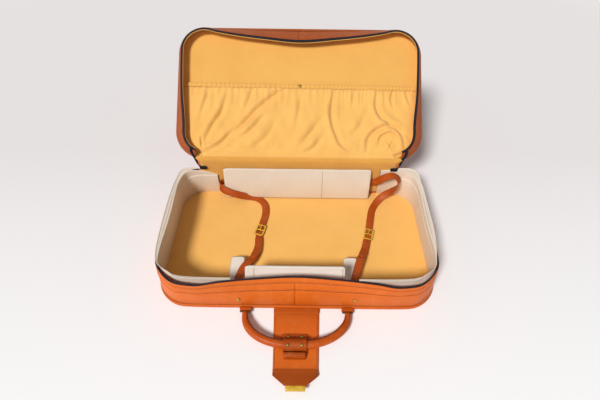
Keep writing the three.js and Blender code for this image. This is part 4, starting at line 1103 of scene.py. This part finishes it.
def pocket_rise(x, depth, half):
    """How far the pocket stands off the lid's board: its slack, its creases and the gathers at its hem."""
    along = (depth - POCKET_BACK) / POCKET_DEPTH
    to_edge = np.minimum(half - np.abs(x), depth - POCKET_BACK)
    rim = np.clip(to_edge / POCKET_ROLL, 0, 1)
    rim = rim * (2 - rim)
    folds = sum(creased(x, depth, *crease) for crease in CREASES)
    pitch = np.where(x > FINE_FROM, 9.0, 14.0)
    gathers = np.sin(2 * PI * x / pitch + 2.2 * ripple(x, depth * 0.2, 5, 120))
    gathers *= np.clip((along - 0.62) / 0.38, 0, 1) ** 1.6
    soft = 1.5 * ripple(x, depth * 1.2, 9, 86) + 0.5 * ripple(x, depth, 13, 30)
    crown = POCKET_CROWN * (0.6 + 0.4 * np.cos(PI * (along - 0.35)))
    rise = rim * np.maximum(0, crown + soft + folds)
    return 0.9 + rise + 0.8 * (1 + gathers) * np.clip(to_edge / 12, 0, 1)


def pocket_mesh(columns=230, rows=84):
    """The pocket as a thin sheet with two faces and closed edges."""
    depths = POCKET_BACK + POCKET_DEPTH * np.arange(rows + 1) / rows
    halves = np.array([pocket_half(depth) for depth in depths])[:, None]
    x = halves * (2 * np.arange(columns + 1) / columns - 1)
    depth = np.repeat(depths[:, None], columns + 1, axis=1)
    face = POCKET_TOP - pocket_rise(x, depth, halves)
    tilt = 1 - HEM_TILT * x / POCKET_DEPTH
    points = np.concatenate([np.stack([x, -depth * tilt, face + up], -1).reshape(-1, 3)
                             for up in (0, POCKET_THICK)])
    faces = []
    at = lambda layer, i, j: (layer * (rows + 1) + i) * (columns + 1) + j
    for i in range(rows):
        for j in range(columns):
            faces.append((at(0, i, j), at(0, i + 1, j), at(0, i + 1, j + 1), at(0, i, j + 1)))
            faces.append((at(1, i, j), at(1, i, j + 1), at(1, i + 1, j + 1), at(1, i + 1, j)))
    for i in range(rows):
        for j in (0, columns):
            faces.append((at(0, i, j), at(1, i, j), at(1, i + 1, j), at(0, i + 1, j)))
    for j in range(columns):
        for i in (0, rows):
            faces.append((at(0, i, j), at(0, i, j + 1), at(1, i, j + 1), at(1, i, j)))
    return points, faces


pocket = dress("pocket_cotton", "lid_pocket", moved(pocket_mesh(), lid_place), POCKET_COTTON)


def hem_lift(x):
    """The small puckers of the elastic hem."""
    rate = 1.15 if x > FINE_FROM else 1.6
    return 0.45 * math.sin(x / rate + 1.5 * math.sin(x / 23)) + 0.4 * math.sin(x / 41)


half = round_half(2 * POCKET_HALF, HEM_WIDTH, 1.2)
hem, faces = laid(panel(half, HEM_WIDTH, HEM_THICK, lambda x, y: hem_lift(x), 420, 12),
                  (1, -1, -1), (0, -HEM_BACK, HEM_TOP))
hem[:, 1] += HEM_TILT * hem[:, 0]
dress("pocket_elastic", "pocket_hem", (lid_place(hem), faces), SHADED_LID_COTTON)
hem_runs = []
for y in (2.6, 7.9):
    line = [(x, HEM_TILT * x - HEM_BACK - y, HEM_TOP - HEM_THICK - 0.05 - hem_lift(x))
            for x in np.arange(-252, 252.1, 1.0)]
    hem_runs.append((lid_place(line), lid_place([(0, 0, -1)]) - lid_place([(0, 0, 0)])))
stitches("hem_stitches", hem_runs, YELLOW_THREAD, "yellow_cotton", "lid", pitch=3.4, length=2.4, thick=0.6)


# Cloth and leather that bend over the lid's hinge

def fold_sheet(name, route, width, thickness, finish, slot, replaced=(), spread=0):
    """A sheet across the back that follows a route of y and z points and may spread towards its end."""
    stops = [np.array([0, y, z], float) for y, z in route]
    rings = []
    for t, centre, along in travel(stops, 60, 1e-3):
        out = np.array([0, along[2], -along[1]]) * thickness / 2
        half = width / 2 + spread * max(0, (t - 0.55) / 0.45)
        xs = np.linspace(-half, half, 56)
        front, back = [[centre + (x, 0, 0) + out * (way + 0.5 * ripple(x, centre[2], 41, 40)) for x in xs]
                       for way in (1, -1)]
        rings.append(front + back[::-1])
    made = piece(name, loft(rings), finish, slot, None, replaced)
    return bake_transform(made)


COTTON_ROUTE = [(146.2, 10), (146.2, 40), (146.2, 70), (146.2, 88), (146.2, 96), (146.4, 101),
                (147.9, 105.5), (150.2, 108.6), (152.4, 110.6)]
LEATHER_ROUTE = [(151.1, 84), (151.1, 91), (151.3, 97), (152.2, 100.6), (154.4, 103.3), (157.6, 105.6),
                 (163.2, 109.8)]
TAIL_ROUTE = [(229, 148.2, 137.5), (231, 149.0, 128), (229, 149.8, 116), (226, 150, 104), (222.5, 149, 92),
              (217, 147, 84)]
COTTON_WIDTH, COTTON_THICK, LEATHER_WIDTH = 434, 0.9, 440
fold_inside = fold_sheet("fold_cotton", COTTON_ROUTE, COTTON_WIDTH, COTTON_THICK, SHADED_FOLD_COTTON,
                         "yellow_cotton", ["spine_lining"], spread=15)
fold_sheet("fold_leather", LEATHER_ROUTE, LEATHER_WIDTH, LID_LEATHER, TAN, "tan_leather")


def zip_tail(name, sign):
    """The zip that runs down from the lid's corner to the end that is sewn in beside the spine."""
    stops = [np.array([sign * x, y, z], float) for x, y, z in TAIL_ROUTE]
    rings = []
    for t, centre, ahead in travel(stops, 40, 0.01):
        side = np.cross(ahead, (0, 1, 0))
        side /= np.linalg.norm(side)
        out = np.cross(side, ahead)
        rings.append(flat_ring(centre, side, out, 3.0, 1.1, 0.9))
    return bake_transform(piece(name, loft(rings), ZIP_TAPE, "black_zip"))


for side, sign in SIDES:
    zip_tail(f"zip_tail_{side}", sign)

# Closing flap: leather from under the front edge to the curled tip
FLAP_BACK, FLAP_LENGTH, FLAP_TAPER = 7.7, 138.3, 111.3
FLAP_WIDE, FLAP_NARROW, TIP_NARROW = 42.5, 39, 18
TIP_LENGTH, TIP_CURL = 18, math.tan(math.radians(18))


def flap_edge(y):
    """The half width of the flap with its pointed tip, at a distance from its back edge."""
    tip = y - (FLAP_LENGTH - TIP_LENGTH)
    if tip <= 0:
        return FLAP_WIDE - (FLAP_WIDE - FLAP_NARROW) * min(1, max(0, y / FLAP_TAPER))
    return FLAP_NARROW - (FLAP_NARROW - TIP_NARROW) * min(1, tip / TIP_LENGTH)


def flap_lift(x, y):
    """The rise of the flap: its curled tip, the fold before it, a pressed border and soft waves."""
    past = max(0, y - 109)
    curl = TIP_CURL * (past * past / (past + 3))
    fold = 0.5 * hump(y - 111.7, 2.4)
    edge = flap_edge(y) - abs(x)
    border = -0.6 * hump(edge - 2.8, 0.8)
    root = 0.35 * ripple(x, y, 51, 60) * min(1, y / 20) * (1 if y < 100 else 0.4)
    return curl + fold + border + max(0, root)


def flap_seam(depth, height, rows, facing):
    """Runs of stitches along both edges of the flap."""
    edge = [(flap_edge(y) - depth, y) for y in rows]
    return [(flap_place([(sign * x, FLAP_BACK - y, height + flap_lift(x, y)) for x, y in edge]), facing)
            for sign in (-1, 1)]


shape = laid(panel(flap_edge, FLAP_LENGTH, 2.9, flap_lift, 46, 110), (1, -1, 1), (0, FLAP_BACK, 0.5))
flap_leather = piece("flap_leather", moved(shape, flap_place), SHADE_PAINTED_FLAP_TAN, "tan_leather", None,
                     ["flap", "flap_tip"])
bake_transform(flap_leather)
FLAP_THREAD = dict(pitch=3.6, length=3.2, thick=1.0)
flap_runs = flap_seam(2.8, 3.45, range(12, 108, 2), (0, 0, 1))
stitches("flap_stitches", flap_runs, DARK_THREAD, "tan_leather", "closing_flap", **FLAP_THREAD)
tip_runs = flap_seam(3.2, 3.5, np.linspace(115, 135, 21), (0, 0.3, 0.95))
stitches("tip_stitches", tip_runs, DARK_THREAD, "tan_leather", "tip", **FLAP_THREAD)
ROOT_HALF, ROOT_LENGTH, ROOT_THICK = 42.4, 11, 1.2
shape = laid(panel(lambda y: ROOT_HALF, ROOT_LENGTH, ROOT_THICK, lambda x, y: 0, 30, 12),
             1, (0, -160.5, 3.75))
root = piece("flap_root", shape, SHADE_PAINTED_FLAP_TAN, "tan_leather", None)
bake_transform(root)

# Rolled handle: thin and low at its ends, thick and high from half its reach on
HANDLE_HALF, HANDLE_REACH, HANDLE_POWER, HANDLE_END = 95, 63, 2.3, 2.1
END_Z, GRIP_Z = 8.5, 11.4
END_RADIUS, GRIP_RADIUS = 5, 7.5


def grip_rings():
    """Rings of the rolled grip, and of the dark seam along its inner side, whose colour also paints the
    shade there.
    """
    rings, seam = [], []
    steps, places = 110, []
    for i in range(steps + 1):
        angle = PI * i / steps
        turn = math.cos(angle)
        x = HANDLE_HALF * math.copysign(abs(turn) ** (2 / HANDLE_POWER), turn)
        reach = max(HANDLE_REACH * math.sin(angle) ** (2 / HANDLE_POWER), HANDLE_END)
        x -= 7 * math.sin(angle) ** 2 * max(0, turn)
        swell = min(1, 2 * reach / HANDLE_REACH)
        places.append(np.array([x, -reach, END_Z + (GRIP_Z - END_Z) * swell]))
    for i, place in enumerate(places):
        along = places[min(i + 1, steps)] - places[max(i - 1, 0)]
        if i == 0:
            along = np.array([0, -1.0, 0])
        if i == steps:
            along = np.array([0, 1.0, 0])
        outward = np.array([-along[1], along[0], 0]) / np.linalg.norm(along[:2])
        swell = min(1, -2 * place[1] / HANDLE_REACH)
        radius = (END_RADIUS + (GRIP_RADIUS - END_RADIUS) * swell) * (1 + 0.012 * math.sin(i * 1.7))
        ring = []
        for j in range(24):
            turn = 2 * PI * j / 24
            puff = 1 + (0.07 if j in (5, 7) else -0.05 if j == 6 else 0)
            size = radius * puff
            point = place + outward * size * math.cos(turn) + np.array([0, 0, size * math.sin(turn)])
            point[1] = min(point[1], -HANDLE_END)
            ring.append(point)
        rings.append(ring)
        if 4 < i < steps - 4:
            inward = place - outward * radius * 0.62 + np.array([0, 0, radius * 0.76])
            seam.append([inward + outward * 0.9 * math.cos(a) + np.array([0, 0, 0.9 * math.sin(a)])
                         for a in np.linspace(0, 2 * PI, 9)[:-1]])
    return rings, seam


rings, seam = grip_rings()
dress("grip_leather", "handle_grip", moved(loft(rings), flap_place), GRIP)
# The seam's dark colour is partly painted shade.
piece("grip_seam_and_painted_shade", moved(loft(seam), flap_place), SEAM_AND_SHADE_EDGE, "tan_leather", "handle")

# Keeper: tab, strap over the grip and roll
KEEPER_X, KEEPER_BOTTOM, KEEPER_HALF = -2, 3.8, 21
KEEPER_Y = -HANDLE_REACH * (1 + (1 - (23 / HANDLE_HALF) ** HANDLE_POWER) ** (1 / HANDLE_POWER)) / 2
INNER, OUTER, ROLL, ROLL_HALF, ROLL_HEIGHT = 8.5, 10.7, 5.85, 20, 11.2
TAB_WIDTH, TAB_LENGTH, TAB_THICK = 48, 11.2, 2.2


def arch_rings():
    """The keeper's strap as rings across its width."""
    rings = []
    for i in range(41):
        x = -KEEPER_HALF * math.cos(PI * i / 40)
        past = max(0, 1 - (KEEPER_HALF - abs(x)) / 1.1)
        roll = 0.9 * (1 - math.sqrt(max(0, 1 - past ** 2)))
        outer, inner = OUTER - roll, INNER + 0.1 + roll
        foot = KEEPER_BOTTOM - GRIP_Z
        profile = [(outer, foot)]
        profile += [(outer * math.cos(a), outer * math.sin(a)) for a in np.linspace(0, PI, 26)]
        profile += [(-outer, foot), (-inner, foot)]
        profile += [(inner * math.cos(a), inner * math.sin(a)) for a in np.linspace(PI, 0, 26)]
        profile += [(inner, foot)]
        rings.append([(KEEPER_X + x, KEEPER_Y + y, GRIP_Z + z) for y, z in profile])
    return rings


dress("keeper_arch", "keeper_strap", moved(loft(arch_rings()), flap_place), STRAP)
arch_runs = []
for side, sign in SIDES:
    x = KEEPER_X + sign * 18.4
    turns = np.linspace(0.1, PI - 0.1, 30)
    line = [(x, KEEPER_Y + 10.8 * math.cos(a), GRIP_Z + 10.8 * math.sin(a)) for a in turns]
    ups = [(0, math.cos(a), math.sin(a)) for a in turns]
    arch_runs.append((flap_place(line), ups))

roll_rings = []
for i in range(31):
    x = -ROLL_HALF * math.cos(PI * i / 30)
    past = max(0, 1 - (ROLL_HALF - abs(x)) / 2.5)
    size = math.sqrt(max(0.02, 1 - past ** 2))
    profile = [(ROLL * math.cos(a) * (0.75 + 0.25 * size), ROLL_HEIGHT * size * math.sin(a) ** 0.85)
               for a in np.linspace(0, PI, 22)]
    profile = [(y, z - (0.7 if abs(y) < 0.5 and z > 5 else 0)) for y, z in profile]
    middle = KEEPER_Y - OUTER - GAP - ROLL
    roll_rings.append([(KEEPER_X + x, middle + y, KEEPER_BOTTOM + z) for y, z in profile])
dress("keeper_roll_leather", "keeper_roll", moved(loft(roll_rings), flap_place), STRAP)

half = round_half(TAB_WIDTH, TAB_LENGTH, 3)
shape = laid(panel(half, TAB_LENGTH, TAB_THICK, lambda x, y: 0.6 * math.cos(PI * x / 60), 40, 14),
             1, (KEEPER_X, KEEPER_Y + OUTER + GAP, KEEPER_BOTTOM - 0.5))
dress("keeper_tab_leather", "keeper_tab", moved(shape, flap_place), STRAP)
stitches("keeper_stitches", arch_runs, THREAD, "strap_leather", "closing_flap", pitch=3.4, length=2.3,
         thick=0.6)

# Floor, light and background
FLOOR_HALF, TONE_FRONT, TONE_BACK, FADE_START, FADE_LENGTH = 40, -0.4, 0.3, 1.6, 2.0
floor_finish = Finish("pale_floor")
away = floor_finish.add("MapRange", output=0, Value=floor_finish.axes()[1], From_Min=TONE_FRONT,
                        From_Max=TONE_BACK)
# Painted light falloff: the floor's colour darkens towards the back and fades to plain white far off.
floor_light_falloff = floor_finish.blend(away, linear("#FCFBFB"), linear("#E6E2E1"))
x, y, z = floor_finish.axes()
far = (((x * x + y * y) ** 0.5 - FADE_START) / FADE_LENGTH).clamp()
floor_light_falloff = floor_finish.blend(far, floor_light_falloff, linear("#FFFFFF"))
floor_mesh = bpy.data.meshes.new("floor")
corners = [(x * FLOOR_HALF, y * FLOOR_HALF, 0) for x, y in ((-1, -1), (1, -1), (1, 1), (-1, 1))]
floor_mesh.from_pydata(corners, [], [(0, 1, 2, 3)])
floor_look = floor_finish.surface(Base_Color=floor_light_falloff, Roughness=0.9, Specular_IOR_Level=0.1)
floor_mesh.materials.append(floor_look)
floor = stood("floor", floor_mesh)

studio = Finish("studio", bpy.data.worlds)
bpy.context.scene.world = studio.data
seen = [studio.add("LightPath", output=i) for i in (0, 3, 6)]
shown = (seen[0] + seen[1] + seen[2]).clamp()
FILL = 0.25
light = studio.add("Background", Color=(1, 0.99, 0.98, 1), Strength=shown * (1 - FILL) + FILL)
studio.add("OutputWorld", Surface=light)
sun = stood("key", bpy.data.lights.new("key", "SUN"))
sun.data.energy = 3.22
sun.data.angle = math.radians(14)
sun.rotation_euler = Vector((0.53, 0.8, -1.0)).to_track_quat("-Z", "Y").to_euler()
